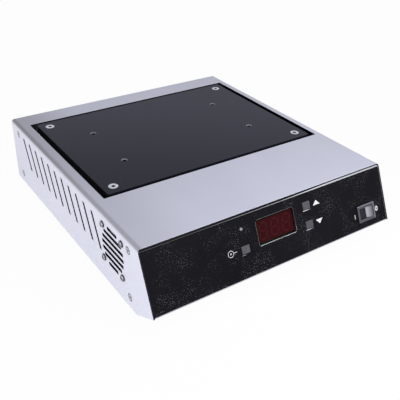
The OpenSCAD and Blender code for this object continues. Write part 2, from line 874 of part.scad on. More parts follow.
// Flat heating plate with countersunk corners and four accessory threads
module heating_plate() color("#3a3b44") difference() {
    translate([plate_x, plate_y, plate_z]) linear_extrude(plate_t) rounded(plate_w, plate_d, plate_corner);
    for (p = post_xy)
        translate([p[0], p[1], plate_top]) flat_seat(m5_r, plate_head_r, plate_t + over);
    for (p = accessory_xy)
        translate([p[0], p[1], plate_top]) rotate_extrude() polygon([
            [0, over], [accessory_mouth + over, over], [accessory_r, accessory_r - accessory_mouth],
            [accessory_r, -accessory_depth], [0, -accessory_depth]
        ]);
    plate_blind(clamp_xy, m4_r + pin_gap, clamp_bite + pin_gap);
    translate([plate_x + probe_x, plate_y - plate_d / 2 - over, plate_z + plate_t / 2]) rotate([-90, 0, 0])
        cylinder(r = probe_r + pin_gap, h = probe_depth + over);
}

// Screws that hold the plate down on its standoffs
module plate_screws() color("WhiteSmoke") for (p = post_xy)
    translate([p[0], p[1], plate_top]) flat_screw(m5_r, plate_head_r, plate_screw_length);

// Ceramic standoffs between the reflector pan and the plate
module plate_standoffs() color("Ivory") for (p = post_xy)
    translate([p[0], p[1], mat_z]) difference() {
        cylinder(r = post_r, h = standoff_h);
        translate([0, 0, -over]) cylinder(r = m5_r + pin_gap, h = standoff_h + 2 * over);
    }

// Steel spacers between the floor and the pan, each with a stud up into its standoff
module pan_spacers() color("Silver") for (p = post_xy)
    translate([p[0], p[1], floor_z]) difference() {
        union() {
            cylinder(r = post_r, h = pan_z - floor_z);
            cylinder(r = m5_r, h = pan_z - floor_z + pan_sheet + stud_length);
        }
        translate([0, 0, -over]) cylinder(r = bolt_r, h = bolt_bite + 2 + over);
    }

// Bolts up through the floor into the spacers
module base_bolts() color("Silver") for (p = post_xy)
    translate([p[0], p[1], zb]) rotate([180, 0, 0])
        round_screw(bolt_r - pin_gap, m4_head_r, m4_head_h, base_sheet + bolt_bite);

// Holes through the heating stack for the clamp screws
module clamp_ways() for (p = clamp_xy)
    translate([p[0], p[1], clamp_z - over]) cylinder(r = m4_r + hole_gap, h = plate_z - clamp_z + 2 * over);

// Flat mica heating element with two terminal tabs at the front
module heater_element() color("Peru") difference() {
    translate([plate_x, plate_y, element_z]) union() {
        translate([-element_w / 2, -element_d / 2, 0]) cube([element_w, element_d, element_t]);
        for (x = [-1, 1])
            translate([x * tab_x - tab_w / 2, -element_d / 2 - tab_out, 0])
                cube([tab_w, tab_out + over, tab_t]);
    }
    clamp_ways();
}

// Steel plate that presses the element against the heating plate
module clamp_plate() color("DarkGray") difference() {
    translate([plate_x - element_w / 2, plate_y - element_d / 2, clamp_z])
        cube([element_w, element_d, clamp_t]);
    clamp_ways();
}

// Screws up through the clamp plate into the heating plate
module clamp_screws() color("Silver") for (p = clamp_xy)
    translate([p[0], p[1], clamp_z]) rotate([180, 0, 0])
        round_screw(m4_r, m4_head_r, m4_head_h, clamp_t + element_t + clamp_bite);

// Open pan under the heater that keeps its heat off the base
module reflector_pan() color("#2b2b2e") {
    rim = plate_z - pan_gap;
    difference() {
        translate([plate_x - pan_w / 2, plate_y - pan_d / 2, pan_z]) cube([pan_w, pan_d, rim - pan_z]);
        translate([plate_x - pan_w / 2 + pan_sheet, plate_y - pan_d / 2 + pan_sheet, mat_z])
            cube([pan_w - 2 * pan_sheet, pan_d - 2 * pan_sheet, rim]);
        for (p = post_xy)
            translate([p[0], p[1], pan_z - over]) cylinder(r = m5_r + hole_gap, h = pan_sheet + 2 * over);
        for (x = [-1, 1])
            translate([plate_x + x * tab_x, plate_y - pan_d / 2 - over, lead_z]) rotate([-90, 0, 0])
                cylinder(r = lead_r + 2, h = pan_sheet + 2 * over);
        translate([plate_x + probe_x, plate_y - pan_d / 2 - over, lead_z]) rotate([-90, 0, 0])
            cylinder(r = probe_r + 2, h = pan_sheet + 2 * over);
    }
}

// Ceramic fibre mat on the floor of the pan
module insulation_mat() color("White")
    translate([plate_x - element_w / 2, plate_y - element_d / 2, mat_z]) cube([element_w, element_d, mat_t]);

// Probe in the front edge of the plate
module temperature_sensor() color("Silver") {
    sleeve = plate_end_gap / 2;
    translate([plate_x + probe_x, plate_y - plate_d / 2 - sleeve, plate_z + plate_t / 2]) rotate([-90, 0, 0])
        cylinder(r = probe_r, h = probe_depth + sleeve);
}

// Safety cut-out strapped under the clamp plate
module thermal_cutout() color("Gainsboro") translate([plate_x, plate_y, clamp_z]) {
    translate([-strap_w / 2, -strap_d / 2, -strap_t]) cube([strap_w, strap_d, strap_t]);
    translate([0, 0, -strap_t - cutout_h]) cylinder(r = cutout_r, h = cutout_h + strap_t / 2);
    for (x = [-1, 1])
        translate([x * cutout_tab_x - tab_t / 2, -tab_w / 2, -strap_t - cutout_h - cutout_tab])
            cube([tab_t, tab_w, cutout_tab + over]);
}

// Control board and what it carries

// Places of the four board spacers on the panel
module board_places(w) for (u = [-1, 1], s = [-1, 1])
    on_panel(u * board_hole_u, control_s + s * board_hole_s, w) children();

// Circuit board behind the panel, with its chips and the ribbon header on the back
module control_board() color("DarkGreen") difference() {
    union() {
        on_panel(0, control_s, control_w0 - board_t)
            translate([-control_w / 2, -control_h / 2, 0]) cube([control_w, control_h, board_t]);
        on_panel(20, control_s, control_w0 - board_t - 1.8)
            translate([-7, -7, 0]) cube([14, 14, 1.8 + board_t / 2]);
        on_panel(-18, control_s - 8, control_w0 - board_t - 1.8)
            translate([-5, -3, 0]) cube([10, 6, 1.8 + board_t / 2]);
        on_panel(header_x, header_s, control_w0 - board_t - header_h)
            translate([-header_w / 2, -header_d / 2, 0]) cube([header_w, header_d, header_h + board_t / 2]);
    }
    board_places(control_w0 - board_t - over) cylinder(r = m3_r + hole_gap, h = board_t + 2 * over);
}

// Spacers between the panel and the control board
module board_spacers() color("Gold") board_places(control_w0) difference() {
    cylinder(r = 2.9, h = control_gap, $fn = 6);
    translate([0, 0, -over]) cylinder(r = m3_r + pin_gap, h = control_gap + 2 * over);
}

// Screws through the control board into its spacers
module board_screws() color("Silver") board_places(control_w0 - board_t)
    rotate([180, 0, 0]) round_screw(m3_r, m3_head_r, m3_head_h, board_t + control_gap - 1);

// Three digit display on the control board
module display_module() color("Black") {
    depth = face_w - filter_set - filter_t - control_w0;
    on_panel(display_u, display_s, control_w0)
        translate([-module_w / 2, -module_h / 2, 0]) cube([module_w, module_h, depth]);
}

// Red filter on the face of the display
module display_filter() color("#5a1418")
    on_panel(display_u, display_s, face_w - filter_set - filter_t)
        translate([-module_w / 2, -module_h / 2, 0]) cube([module_w, module_h, filter_t]);

// Key switches under the three buttons, each with a bore for the stem of its cap
module key_switches() color("DimGray") for (p = key_us)
    on_panel(p[0], p[1], control_w0) difference() {
        translate([-key_size / 2, -key_size / 2, 0]) cube([key_size, key_size, key_h]);
        translate([0, 0, 0.3]) cylinder(r = stem_r + pin_gap, h = key_h);
    }

// Button cap with a flange behind the panel and a stem into its key switch
module button(u, s) {
    flange_w = back_w - fit_gap;
    stem_w = control_w0 + 0.3 + cap_travel + fit_gap / 2;
    on_panel(u, s, 0) {
        translate([0, 0, flange_w - flange_t]) linear_extrude(cap_w0 - flange_w + flange_t)
            rounded(cap_w, cap_h, 0.3);
        translate([0, 0, flange_w - flange_t]) linear_extrude(flange_t)
            square([cap_w + 2 * flange_out, cap_h + 2 * flange_out], center = true);
        translate([0, 0, stem_w]) cylinder(r = stem_r, h = flange_w - stem_w);
    }
}

// Button that raises the set temperature
module button_up() color("#66676d") button(step_u, step_up_s);

// Button that lowers the set temperature
module button_down() color("#66676d") button(step_u, step_down_s);

// Button that changes the mode
module button_mode() color("#66676d") button(mode_u, mode_s);

// Round status light through the panel
module status_led() color("LightGray") on_panel(led_u, led_s, 0) {
    base_w = back_w - 1.5;
    neck_w = skin_w - led_r / 2;
    translate([0, 0, base_w]) cylinder(r = led_r, h = neck_w - base_w);
    translate([0, 0, neck_w]) sphere(led_r);
    translate([0, 0, base_w]) cylinder(r = led_r + 0.4, h = 1);
}

// Spacer that holds the status light off the board
module led_spacer() color("Black")
    on_panel(led_u, led_s, control_w0) cylinder(r = led_r + 0.4, h = back_w - 1.5 - control_w0);

// Power switch: bezel, body, cavity for the rocker and the contact tabs
module power_switch() color("#3c3d42") on_panel(switch_u, switch_s, skin_w) difference() {
    union() {
        linear_extrude(bezel_t) rounded(bezel_w, bezel_h, 0.8);
        translate([-switch_w / 2, -switch_h / 2, -switch_depth])
            cube([switch_w, switch_h, switch_depth + over]);
        for (x = [-1, 1])
            translate([x * switch_tab_u - tab_t / 2, -2.4, -switch_depth - switch_tab])
                cube([tab_t, 4.8, switch_tab + over]);
    }
    translate([-rocker_window_w / 2, -rocker_window_h / 2, bezel_t - pivot_drop - 5.4])
        cube([rocker_window_w, rocker_window_h, pivot_drop + 5.4 + over]);
    translate([0, 0, bezel_t - pivot_drop]) rotate([90, 0, 0])
        cylinder(r = rocker_pin_r + pin_gap, h = switch_h - 0.4, center = true);
}

// Rocker with a hollowed face, resting with its left half pressed in
module power_rocker() color("#8d8f98") {
    skirt = 3;
    end_w = (rocker_window_w / 2 - fit_gap - skirt * sin(rocker_tilt)) / cos(rocker_tilt);
    top_w = end_w - fit_gap;
    dish_w = 0.45 * top_w;
    top = valley_rise + dish_w * tan(rocker_rise);
    width = rocker_window_h - 2 * fit_gap;
    on_panel(switch_u, switch_s, skin_w + bezel_t - pivot_drop) rotate([0, -rocker_tilt, 0]) {
        along_y(width) polygon([
            [0, valley_rise], [dish_w, top], [top_w, top], [end_w, 0], [end_w, -skirt],
            [-end_w, -skirt], [-end_w, 0], [-top_w, top], [-dish_w, top]
        ]);
        rotate([90, 0, 0]) cylinder(r = rocker_pin_r, h = width + 2, center = true);
    }
}

// Power electronics

// Board on the floor with the header for the ribbon
module power_board() color("DarkGreen") difference() {
    union() {
        translate([power_x - power_w / 2, power_y - power_d / 2, power_z]) cube([power_w, power_d, board_t]);
        translate([header_x - header_w / 2, power_header_y - header_d / 2, power_z])
            cube([header_w, header_d, header_h + board_t]);
    }
    for (p = power_holes)
        translate([p[0], p[1], power_z - over]) cylinder(r = m3_r + hole_gap, h = board_t + 2 * over);
}

// Posts under the power board
module power_posts() color("Ivory") for (p = power_holes)
    translate([p[0], p[1], floor_z]) difference() {
        cylinder(r = 3.2, h = power_post);
        translate([0, 0, -over]) cylinder(r = m3_r + pin_gap, h = power_post + 2 * over);
    }

// Screws through the power board into its posts
module power_screws() color("Silver") for (p = power_holes)
    translate([p[0], p[1], power_top]) round_screw(m3_r, m3_head_r, m3_head_h, board_t + power_post - 1);

// Transformer: laminated core around a wound coil
module transformer() color("#5c4a2f") translate([core_x, power_y + core_back, power_top]) {
    coil_w = core_w - 2 * core_limb;
    translate([-core_w / 2, -core_d / 2, 0]) cube([core_w, core_d, core_h]);
    translate([-coil_w / 2, -coil_d / 2, (core_h - coil_h) / 2]) cube([coil_w, coil_d, coil_h]);
}

// Finned heat sink in the air stream of the fan
module heatsink() color("DimGray") {
    fins = 6;
    fin_t = 1.6;
    translate([sink_x - sink_w / 2, power_y - sink_d / 2, power_top]) {
        translate([sink_w - sink_base, 0, 0]) cube([sink_base, sink_d, sink_h]);
        for (i = [0 : fins - 1])
            translate([0, i * (sink_d - fin_t) / (fins - 1), 0]) cube([sink_w, fin_t, sink_h]);
    }
}

// Power semiconductor against the heat sink
module triac() color("#202024") translate([sink_x + sink_w / 2, power_y, power_top]) {
    translate([0, -triac_w / 2, triac_rise]) cube([triac_t, triac_w, triac_h]);
    for (y = [-1, 0, 1])
        translate([triac_t / 2 - 0.4, y * 2.54 - 0.4, 0]) cube([0.8, 0.8, triac_rise + over]);
}

// Sealed relay
module relay() color("RoyalBlue") translate([middle_x, power_y - relay_front, power_top])
    translate([-relay_w / 2, -relay_d / 2, 0]) cube([relay_w, relay_d, relay_h]);

// Smoothing capacitors
module capacitors() color("MidnightBlue") for (x = [-1, 1])
    translate([middle_x + x * (can_r + can_gap / 2), power_y + can_back, power_top])
        cylinder(r = can_r, h = can_h);

// Glass fuse in its holder
module fuse() color("Black") translate([fuse_x, power_y, power_top]) {
    translate([-fuse_w / 2, -fuse_d / 2, 0]) cube([fuse_w, fuse_d, fuse_base]);
    for (y = [-1, 1])
        translate([-fuse_w / 2, y * (fuse_d - clip_d) / 2 - clip_d / 2, fuse_base - over])
            cube([fuse_w, clip_d, fuse_h - fuse_base + over]);
    translate([0, 2 * over - fuse_d / 2 + clip_d / 2, fuse_h - glass_r - 0.4]) rotate([-90, 0, 0])
        cylinder(r = glass_r, h = fuse_d - clip_d - 4 * over);
}

// Screw terminals for the mains and heater leads
module terminal_block() color("ForestGreen") translate([block_x, power_y, power_top])
    translate([-block_w / 2, -block_d / 2, 0]) cube([block_w, block_d, block_h]);

// Face of the terminal block where lead i goes in
function block_port(i) = [
    block_x + block_w / 2,
    power_y + (i - (block_ports - 1) / 2) * block_pitch,
    power_top + block_h / 2
];

// Rear fittings

// Mains inlet with its flange on the rear panel
module mains_inlet() color("#1d1d20") on_rear(inlet_x, inlet_z) difference() {
    depth = recess_depth - inlet_flange_t + inlet_floor;
    union() {
        linear_extrude(inlet_flange_t) rounded(inlet_flange_w, inlet_flange_h, 4);
        translate([-inlet_w / 2, -inlet_h / 2, -depth]) cube([inlet_w, inlet_h, depth + over]);
    }
    translate([0, 0, inlet_flange_t - recess_depth]) linear_extrude(recess_depth + over) polygon([
        [-recess_w / 2, -recess_h / 2], [recess_w / 2, -recess_h / 2],
        [recess_w / 2, recess_h / 2 - recess_cut], [recess_w / 2 - recess_cut, recess_h / 2],
        [recess_cut - recess_w / 2, recess_h / 2], [-recess_w / 2, recess_h / 2 - recess_cut]
    ]);
    for (p = inlet_pin_xz)
        translate([p[0], p[1], -depth - over]) linear_extrude(depth)
            square([2 + 2 * pin_gap, 4 + 2 * pin_gap], center = true);
    for (x = [-1, 1])
        translate([x * inlet_hole, 0, inlet_flange_t]) flat_seat(m3_r, m3_flat_r, inlet_flange_t + over);
}

// Three flat pins of the inlet, each with its tab at the back
module inlet_pins() color("Silver") on_rear(inlet_x, inlet_z) for (p = inlet_pin_xz)
    translate([p[0], p[1], inlet_tab_z]) linear_extrude(pin_len + inlet_floor + inlet_tab)
        square([2, 4], center = true);

// Screws of the inlet flange
module inlet_screws() color("Silver") for (x = [-1, 1])
    on_rear(inlet_x + x * inlet_hole, inlet_z) translate([0, 0, inlet_flange_t])
        flat_screw(m3_r, m3_flat_r, inlet_flange_t + base_sheet + 2);

// Jack socket for a remote control, with a threaded bush through the rear panel
module remote_socket() color("#2a2a2e") on_rear(remote_x, inlet_z) difference() {
    union() {
        translate([0, 0, -base_sheet - over])
            cylinder(r = remote_bush_r, h = base_sheet + over + remote_out);
        translate([-5.5, -5.5, remote_out - remote_depth - 2])
            cube([11, 11, remote_depth + 2 - remote_out - base_sheet]);
    }
    translate([0, 0, remote_out - remote_depth]) cylinder(r = remote_r, h = remote_depth + over);
}

// Nut of the remote socket
module remote_nut() color("Silver") on_rear(remote_x, inlet_z) nut(remote_bush_r, 6.2, remote_nut_t);

// Earth stud welded to the floor, with its nut
module earth_terminal() color("Gold") translate([earth_x, earth_y, floor_z]) {
    cylinder(r = m4_r, h = 10);
    translate([0, 0, 2]) cylinder(r = m4_nut_r, h = nut_h, $fn = 6);
    cylinder(r = m4_r + 1.5, h = 1);
}

// Fan

// The middle of the fan on the inside of the cover, with +Z into the case
module at_fan() translate([-in_x, fan_y, fan_z]) rotate([0, 90, 0]) children();

// Places of the four fan screws
module fan_places() for (a = [-1, 1], b = [-1, 1])
    translate([a * fan_pitch / 2, b * fan_pitch / 2, 0]) children();

// Square frame with the spider that carries the bearing
module fan_frame() color("#26262a") at_fan() difference() {
    union() {
        difference() {
            linear_extrude(fan_t) rounded(fan_size, fan_size, 3);
            translate([0, 0, -over]) cylinder(r = fan_bore, h = fan_t + 2 * over);
        }
        translate([0, 0, fan_t - spider_t]) cylinder(r = hub_r, h = spider_t);
        for (turn = [0, 90])
            rotate(turn + 45) translate([-fan_bore - over, -1, fan_t - spider_t])
                cube([2 * (fan_bore + over), 2, spider_t]);
        translate([0, 0, 3.2]) cylinder(r = bearing_r, h = fan_t - 3.2);
    }
    translate([0, 0, -over]) cylinder(r = shaft_r + pin_gap, h = fan_t - spider_t + over);
    translate([0, 0, -over]) fan_places() cylinder(r = m3_r + hole_gap, h = fan_t + 2 * over);
}

// Hub with its shaft and blades
module fan_rotor() color("#303036") at_fan() {
    top = rotor_gap;
    bottom = fan_t - spider_t - rotor_gap;
    difference() {
        translate([0, 0, top]) cylinder(r = hub_r, h = bottom - top);
        translate([0, 0, top + 1.4]) cylinder(r = hub_r - 1.2, h = fan_t);
    }
    translate([0, 0, top]) cylinder(r = shaft_r, h = bottom - top + rotor_gap / 2);
    intersection() {
        for (i = [0 : blade_count - 1])
            rotate(i * 360 / blade_count) translate([hub_r - 0.6, 0, (top + bottom) / 2])
                rotate([blade_angle, 0, 0]) translate([0, -fan_t, -0.5]) cube([fan_bore, 2 * fan_t, 1]);
        difference() {
            translate([0, 0, top]) cylinder(r = fan_bore - 0.6, h = bottom - top);
            cylinder(r = hub_r - 0.6, h = fan_t);
        }
    }
}

// Screws through the cover and the fan frame
module fan_screws() color("Gray") for (a = [-1, 1], b = [-1, 1])
    on_side(-1, fan_y + a * fan_pitch / 2, fan_z + b * fan_pitch / 2)
        round_screw(m3_r, m3_head_r, m3_head_h, fan_screw_length);

// Nuts of the fan screws, on the inside of the frame
module fan_nuts() color("Silver") at_fan() translate([0, 0, fan_t]) fan_places() nut(m3_r, m3_nut_r, nut_h);

// Leads inside the case

// Two leads from the tabs of the heating element to the terminal block
module heater_leads() color("Ivory") for (i = [0, 1]) {
    tab = [plate_x + (2 * i - 1) * tab_x, plate_y - element_d / 2 - tab_out, element_z - lead_r];
    port = block_port(3 - i);
    out_y = plate_y - pan_d / 2 - 12 + 7 * i;
    run_x = port[0] + 12 + 5 * i;
    run_z = port[2] + 9;
    lead([
        tab + [0, 4, 0], tab - [0, 0.5, 0], [tab[0], tab[1] - 0.5, lead_z], [tab[0], out_y, lead_z],
        [run_x, out_y, run_z], [run_x, port[1], run_z], [run_x, port[1], port[2]], port
    ], lead_r);
}

// Leads from the inlet along the right side to the terminal block, to the earth stud and to the switch
module mains_leads() color("SaddleBrown") {
    tail = [inlet_x, y_rear + inlet_tab_z, inlet_z];
    back_y = (tail[1] + plate_y + pan_d / 2) / 2 - 0.4;
    run_x = (in_x - base_sheet + plate_x + pan_w / 2) / 2;
    for (i = [0, 1]) {
        x = tail[0] + (2 * i - 1) * inlet_pin_xz[1][0];
        z = inlet_z + inlet_pin_xz[0][1];
        port = block_port(4 + i);
        run_z = inlet_z - 14 + 6 * i;
        lead([
            [x, tail[1], z], [x, back_y, z], [x, back_y, run_z], [run_x, back_y, run_z],
            [run_x, port[1], run_z], [port[0] + 14, port[1], port[2]], port
        ], lead_r);
    }
    earth_z = floor_z + 7;
    pin_z = inlet_z + inlet_pin_xz[2][1];
    lead([
        [tail[0], tail[1], pin_z], [tail[0], back_y, pin_z], [earth_x, back_y, pin_z],
        [earth_x, back_y, earth_z], [earth_x, earth_y - m4_r, earth_z]
    ], lead_r);
    for (i = [0, 1]) {
        u = switch_u + (2 * i - 1) * switch_tab_u;
        tab_w0 = skin_w - switch_depth - switch_tab;
        port = block_port(i);
        lead([
            panel_point(u, switch_s, tab_w0), panel_point(u, switch_s, tab_w0 - 7),
            [u, port[1], port[2]], port
        ], lead_r);
    }
}

// Lead from the temperature probe to the control board
module sensor_lead() color("DarkKhaki") {
    start = [plate_x + probe_x, plate_y - plate_d / 2 - plate_end_gap / 2, plate_z + plate_t / 2];
    end_s = control_s - control_h / 2 + 1.5 * board_inset;
    end_w = control_w0 - board_t;
    lead([
        start, start - [0, 1.3 * bend_r, 0], start - [0, 3.2 * bend_r, 1.25 * bend_r],
        panel_point(probe_x, end_s, end_w - 1.5 * bend_r), panel_point(probe_x, end_s, end_w)
    ], lead_r * 0.8);
}

// Lead from the fan to the control board
module fan_lead() color("#7a2020") {
    start = [-in_x + fan_t, fan_y - fan_size / 2 + lead_r + 0.2, fan_z - 9];
    end_u = 8 - control_w / 2;
    lead([
        start, start + [10, 0, 0], panel_point(end_u, control_s, control_w0 - board_t - 12),
        panel_point(end_u, control_s, control_w0 - board_t)
    ], lead_r);
}

// Flat ribbon between the two boards
module ribbon_cable() color("LightGray") {
    low = [power_header_y, power_top + header_h];
    high3 = panel_point(header_x, header_s, control_w0 - board_t - header_h);
    out3 = panel_point(header_x, header_s, control_w0 - board_t - header_h - 4);
    high = [high3[1], high3[2]];
    out = [out3[1], out3[2]];
    translate([header_x, 0, 0]) along_x(header_w - 2)
        strip([low, low + [0, 6], [(low[0] + out[0]) / 2, max(low[1], out[1]) + 7], out, high], 0.9);
}

cover();
base_tray();
front_panel();
panel_overlay();
rear_panel();
rear_brackets();
cover_screws();
rubber_feet();
foot_screws();
foot_nuts();
heating_plate();
plate_screws();
plate_standoffs();
pan_spacers();
base_bolts();
heater_element();
clamp_plate();
clamp_screws();
reflector_pan();
insulation_mat();
temperature_sensor();
thermal_cutout();
control_board();
board_spacers();
board_screws();
display_module();
display_filter();
key_switches();
button_up();
button_down();
button_mode();
status_led();
led_spacer();
power_switch();
power_rocker();
power_board();
power_posts();
power_screws();
transformer();
heatsink();
triac();
relay();
capacitors();
fuse();
terminal_block();
mains_inlet();
inlet_pins();
inlet_screws();
remote_socket();
remote_nut();
fan_frame();
fan_rotor();
fan_screws();
fan_nuts();
earth_terminal();
heater_leads();
mains_leads();
sensor_lead();
fan_lead();
ribbon_cable();
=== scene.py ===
"""Bench preheating plate for circuit boards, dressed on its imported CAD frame."""
import math

import bpy
import numpy as np
from mathutils import Matrix


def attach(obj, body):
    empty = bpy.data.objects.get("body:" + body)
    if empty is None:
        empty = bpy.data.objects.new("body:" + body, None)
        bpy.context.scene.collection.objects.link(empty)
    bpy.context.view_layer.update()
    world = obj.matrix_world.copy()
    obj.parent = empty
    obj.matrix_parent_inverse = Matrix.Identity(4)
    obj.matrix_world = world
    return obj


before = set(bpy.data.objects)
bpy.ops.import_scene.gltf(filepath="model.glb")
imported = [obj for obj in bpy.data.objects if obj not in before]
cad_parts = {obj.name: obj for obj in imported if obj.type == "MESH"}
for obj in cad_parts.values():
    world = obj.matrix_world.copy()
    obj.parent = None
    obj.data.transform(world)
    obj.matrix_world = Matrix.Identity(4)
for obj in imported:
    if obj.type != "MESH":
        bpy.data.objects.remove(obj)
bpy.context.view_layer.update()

scene = bpy.context.scene
scene.view_settings.view_transform = "Standard"

# Millimetres in a metre: sizes and places below are in millimetres, meshes and lamps in metres
MM = 1000.0


def node_box(name):
    """Lowest and highest corner of a CAD node."""
    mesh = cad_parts[name].data
    points = np.empty(3 * len(mesh.vertices), np.float32)
    mesh.vertices.foreach_get("co", points)
    points = points.reshape(-1, 3).astype(float) * MM
    return points.min(axis=0).round(3).tolist(), points.max(axis=0).round(3).tolist()


# Case and plate, from the frame
(_, FRONT, BOTTOM), (SIDE, REAR, TOP) = node_box("cover")
PLATE_LOW, PLATE_HIGH = node_box("heating_plate")
PLATE_TOP = PLATE_HIGH[2]
PLATE_X = (PLATE_LOW[0] + PLATE_HIGH[0]) / 2
PLATE_Y = (PLATE_LOW[1] + PLATE_HIGH[1]) / 2

# Sloping front, as the CAD has it
PANEL_RUN = 21.7
PANEL_RISE = TOP - BOTTOM - 14.3
UPPER_EDGE = FRONT + PANEL_RUN
LEAN = math.atan2(PANEL_RUN, PANEL_RISE)
FOOT_S = 53.2
PANEL_T = 2.0
PANEL_SET = 0.5
OVERLAY_T = 0.4
SKIN_W = OVERLAY_T - PANEL_SET
FILTER_W = -PANEL_SET - 1.6
PRINT_LIFT = 0.03

# Controls on the front: u across it, s down the slope from its upper edge
DISPLAY_U = -0.8
DISPLAY_S = 21.4
DISPLAY_W = 40.3
DISPLAY_H = 22.4
DISPLAY_RIM = 0.4
CAP_W = 7.8
CAP_H = 6.5
CAP_GAP = 0.7
STEP_U = 33.4
STEP_UP_S = 13.7
STEP_DOWN_S = 30.5
MODE_U = -34.6
MODE_S = 30.2
SWITCH_U = 98.6
SWITCH_S = 39.4
BEZEL_W = 20.6
BEZEL_H = 15.4
BEZEL_T = 1.9

# Openings and screws of the cover and the plate
SCREW_Y = (UPPER_EDGE + 14.8, REAR - 17.4)
SCREW_Z = (BOTTOM + 10.1, TOP - 9.6)
SCREW_RIM = 3.4
SLIT_LEAN = math.radians(25.5)
SLIT_PITCH = 15.5
SLIT_W = 2.8
SLIT_RIM = 0.3
SLIT_REAR = REAR - 32.0
SLIT_Z = (BOTTOM + 26.0, TOP - 8.6)
SLITS_LEFT = 11
SLITS_RIGHT = 9
SIDE_X = (SIDE - 1.5, SIDE - 0.12)
SIDE_Y = (FRONT + 27.75, REAR - 1.25)
SIDE_Z = (BOTTOM + 1.5, TOP - 3.5)
WINDOW_X = (PLATE_LOW[0] - 5.65, PLATE_HIGH[0] + 5.65)
WINDOW_Y = (PLATE_LOW[1] - 3.85, PLATE_HIGH[1] + 3.85)
WINDOW_Z = (TOP - 3.5, TOP - 0.04)
ACCESSORY_X = (PLATE_X - 70.75, PLATE_X + 70.75)
ACCESSORY_Y = (PLATE_Y - 32.6, PLATE_Y + 32.6)
MOUTH_R = 2.96


# Shader maths

class Value:
    """A socket that can be used in sums: every operator adds one Math node to its tree."""

    def __init__(self, tree, socket):
        self.tree = tree
        self.socket = socket

    def maths(self, operation, first, second=None):
        return Finish.plug(self.tree, "ShaderNodeMath", {"operation": operation}, {0: first, 1: second})

    def __add__(self, other):
        return self.maths("ADD", self, other)

    def __radd__(self, other):
        return self.maths("ADD", other, self)

    def __sub__(self, other):
        return self.maths("SUBTRACT", self, other)

    def __rsub__(self, other):
        return self.maths("SUBTRACT", other, self)

    def __mul__(self, other):
        return self.maths("MULTIPLY", self, other)

    def __rmul__(self, other):
        return self.maths("MULTIPLY", other, self)

    def __truediv__(self, other):
        return self.maths("DIVIDE", self, other)

    def __rtruediv__(self, other):
        return self.maths("DIVIDE", other, self)

    def __pow__(self, other):
        return self.maths("POWER", self, other)

    def __abs__(self):
        return self.maths("ABSOLUTE", self)

    def __gt__(self, other):
        return self.maths("GREATER_THAN", self, other)

    def __lt__(self, other):
        return self.maths("LESS_THAN", self, other)

    def fraction(self):
        """What is left above the next lower whole number."""
        return self.maths("FRACT", self)

    def capped(self):
        """The value, or 1 where it is more than 1."""
        return self.maths("MINIMUM", self, 1.0)

    def within(self, low, high):
        """1 between low and high, 0 elsewhere."""
        return (self > low) * (self < high)

    def beyond(self, low, high):
        """How far the value lies outside the span from low to high, negative inside it."""
        return abs(self - (low + high) / 2) - (high - low) / 2

    def step(self, low, high):
        """Smooth rise from 0 at low to 1 at high."""
        return Finish.plug(self.tree, "ShaderNodeMapRange", {"interpolation_type": "SMOOTHSTEP"},
                           {"Value": self, "From Min": low, "From Max": high})


def put(tree, socket, item):
    """Links a Value to a socket, or writes a plain number or colour on it."""
    if item is None:
        return
    if isinstance(item, Value):
        tree.links.new(item.socket, socket)
    elif isinstance(item, (tuple, list)) and socket.type == "RGBA" and len(item) == 3:
        socket.default_value = (*item, 1.0)
    else:
        socket.default_value = item


class Finish:
    """One material: a Principled shader and the nodes that feed it."""

    def __init__(self, name, **constants):
        self.material = bpy.data.materials.new(name)
        self.material.use_nodes = True
        self.tree = self.material.node_tree
        self.shader = self.tree.nodes["Principled BSDF"]
        self.place = self.node("ShaderNodeTexCoord", out="Object")
        for socket, number in constants.items():
            self.set(socket.replace("_", " "), number)

    @staticmethod
    def plug(tree, kind, settings=None, inputs=None, out=0):
        """Adds any node to a tree: its settings first, then the values or links of its sockets."""
        node = tree.nodes.new(kind)
        for key, setting in (settings or {}).items():
            setattr(node, key, setting)
        for key, item in (inputs or {}).items():
            put(tree, node.inputs[key], item)
        return Value(tree, node.outputs[out])

    def node(self, kind, settings=None, inputs=None, out=0):
        return self.plug(self.tree, kind, settings, inputs, out)

    def set(self, socket, item):
        put(self.tree, self.shader.inputs[socket], item)
        return self

    def axis(self, name):
        """One coordinate of the object, in millimetres."""
        return self.node("ShaderNodeSeparateXYZ", inputs={"Vector": self.place}, out=name) * MM

    def stretch(self, scale, turn=(0.0, 0.0, 0.0)):
        """Object coordinates turned and scaled, for grain that runs one way."""
        return self.node("ShaderNodeMapping", inputs={
            "Vector": self.place, "Rotation": turn, "Scale": scale})

    def noise(self, scale, detail=3.0, rough=0.55, at=None):
        """Cloudy variation between 0 and 1, scale clouds to a metre."""
        return self.node("ShaderNodeTexNoise", inputs={
            "Vector": at or self.place, "Scale": scale, "Detail": detail, "Roughness": rough})

    def cells(self, scale):
        """Distance to scattered points, scale points to a metre."""
        return self.node("ShaderNodeTexVoronoi", {"feature": "F1"},
                         {"Vector": self.place, "Scale": scale}, out="Distance")

    def mix(self, factor, first, second):
        """Colour between two colours, through the colour sockets of a Mix node."""
        return self.node("ShaderNodeMix", {"data_type": "RGBA"}, {0: factor, 6: first, 7: second}, out=2)

    def bump(self, height, strength, depth):
        """Small relief on the Normal socket."""
        return self.set("Normal", self.node("ShaderNodeBump", inputs={
            "Height": height, "Strength": strength, "Distance": depth / MM}))


# Places on the object

def slope_out(f):
    """Distance out of the sloping front: y and z turned by the lean about its upper edge."""
    ahead = UPPER_EDGE - f.axis("Y")
    return ahead * math.cos(LEAN) + (f.axis("Z") - TOP) * math.sin(LEAN)


def slope_down(f):
    """Distance down the sloping front from its upper edge."""
    ahead = UPPER_EDGE - f.axis("Y")
    return ahead * math.sin(LEAN) - (f.axis("Z") - TOP) * math.cos(LEAN)


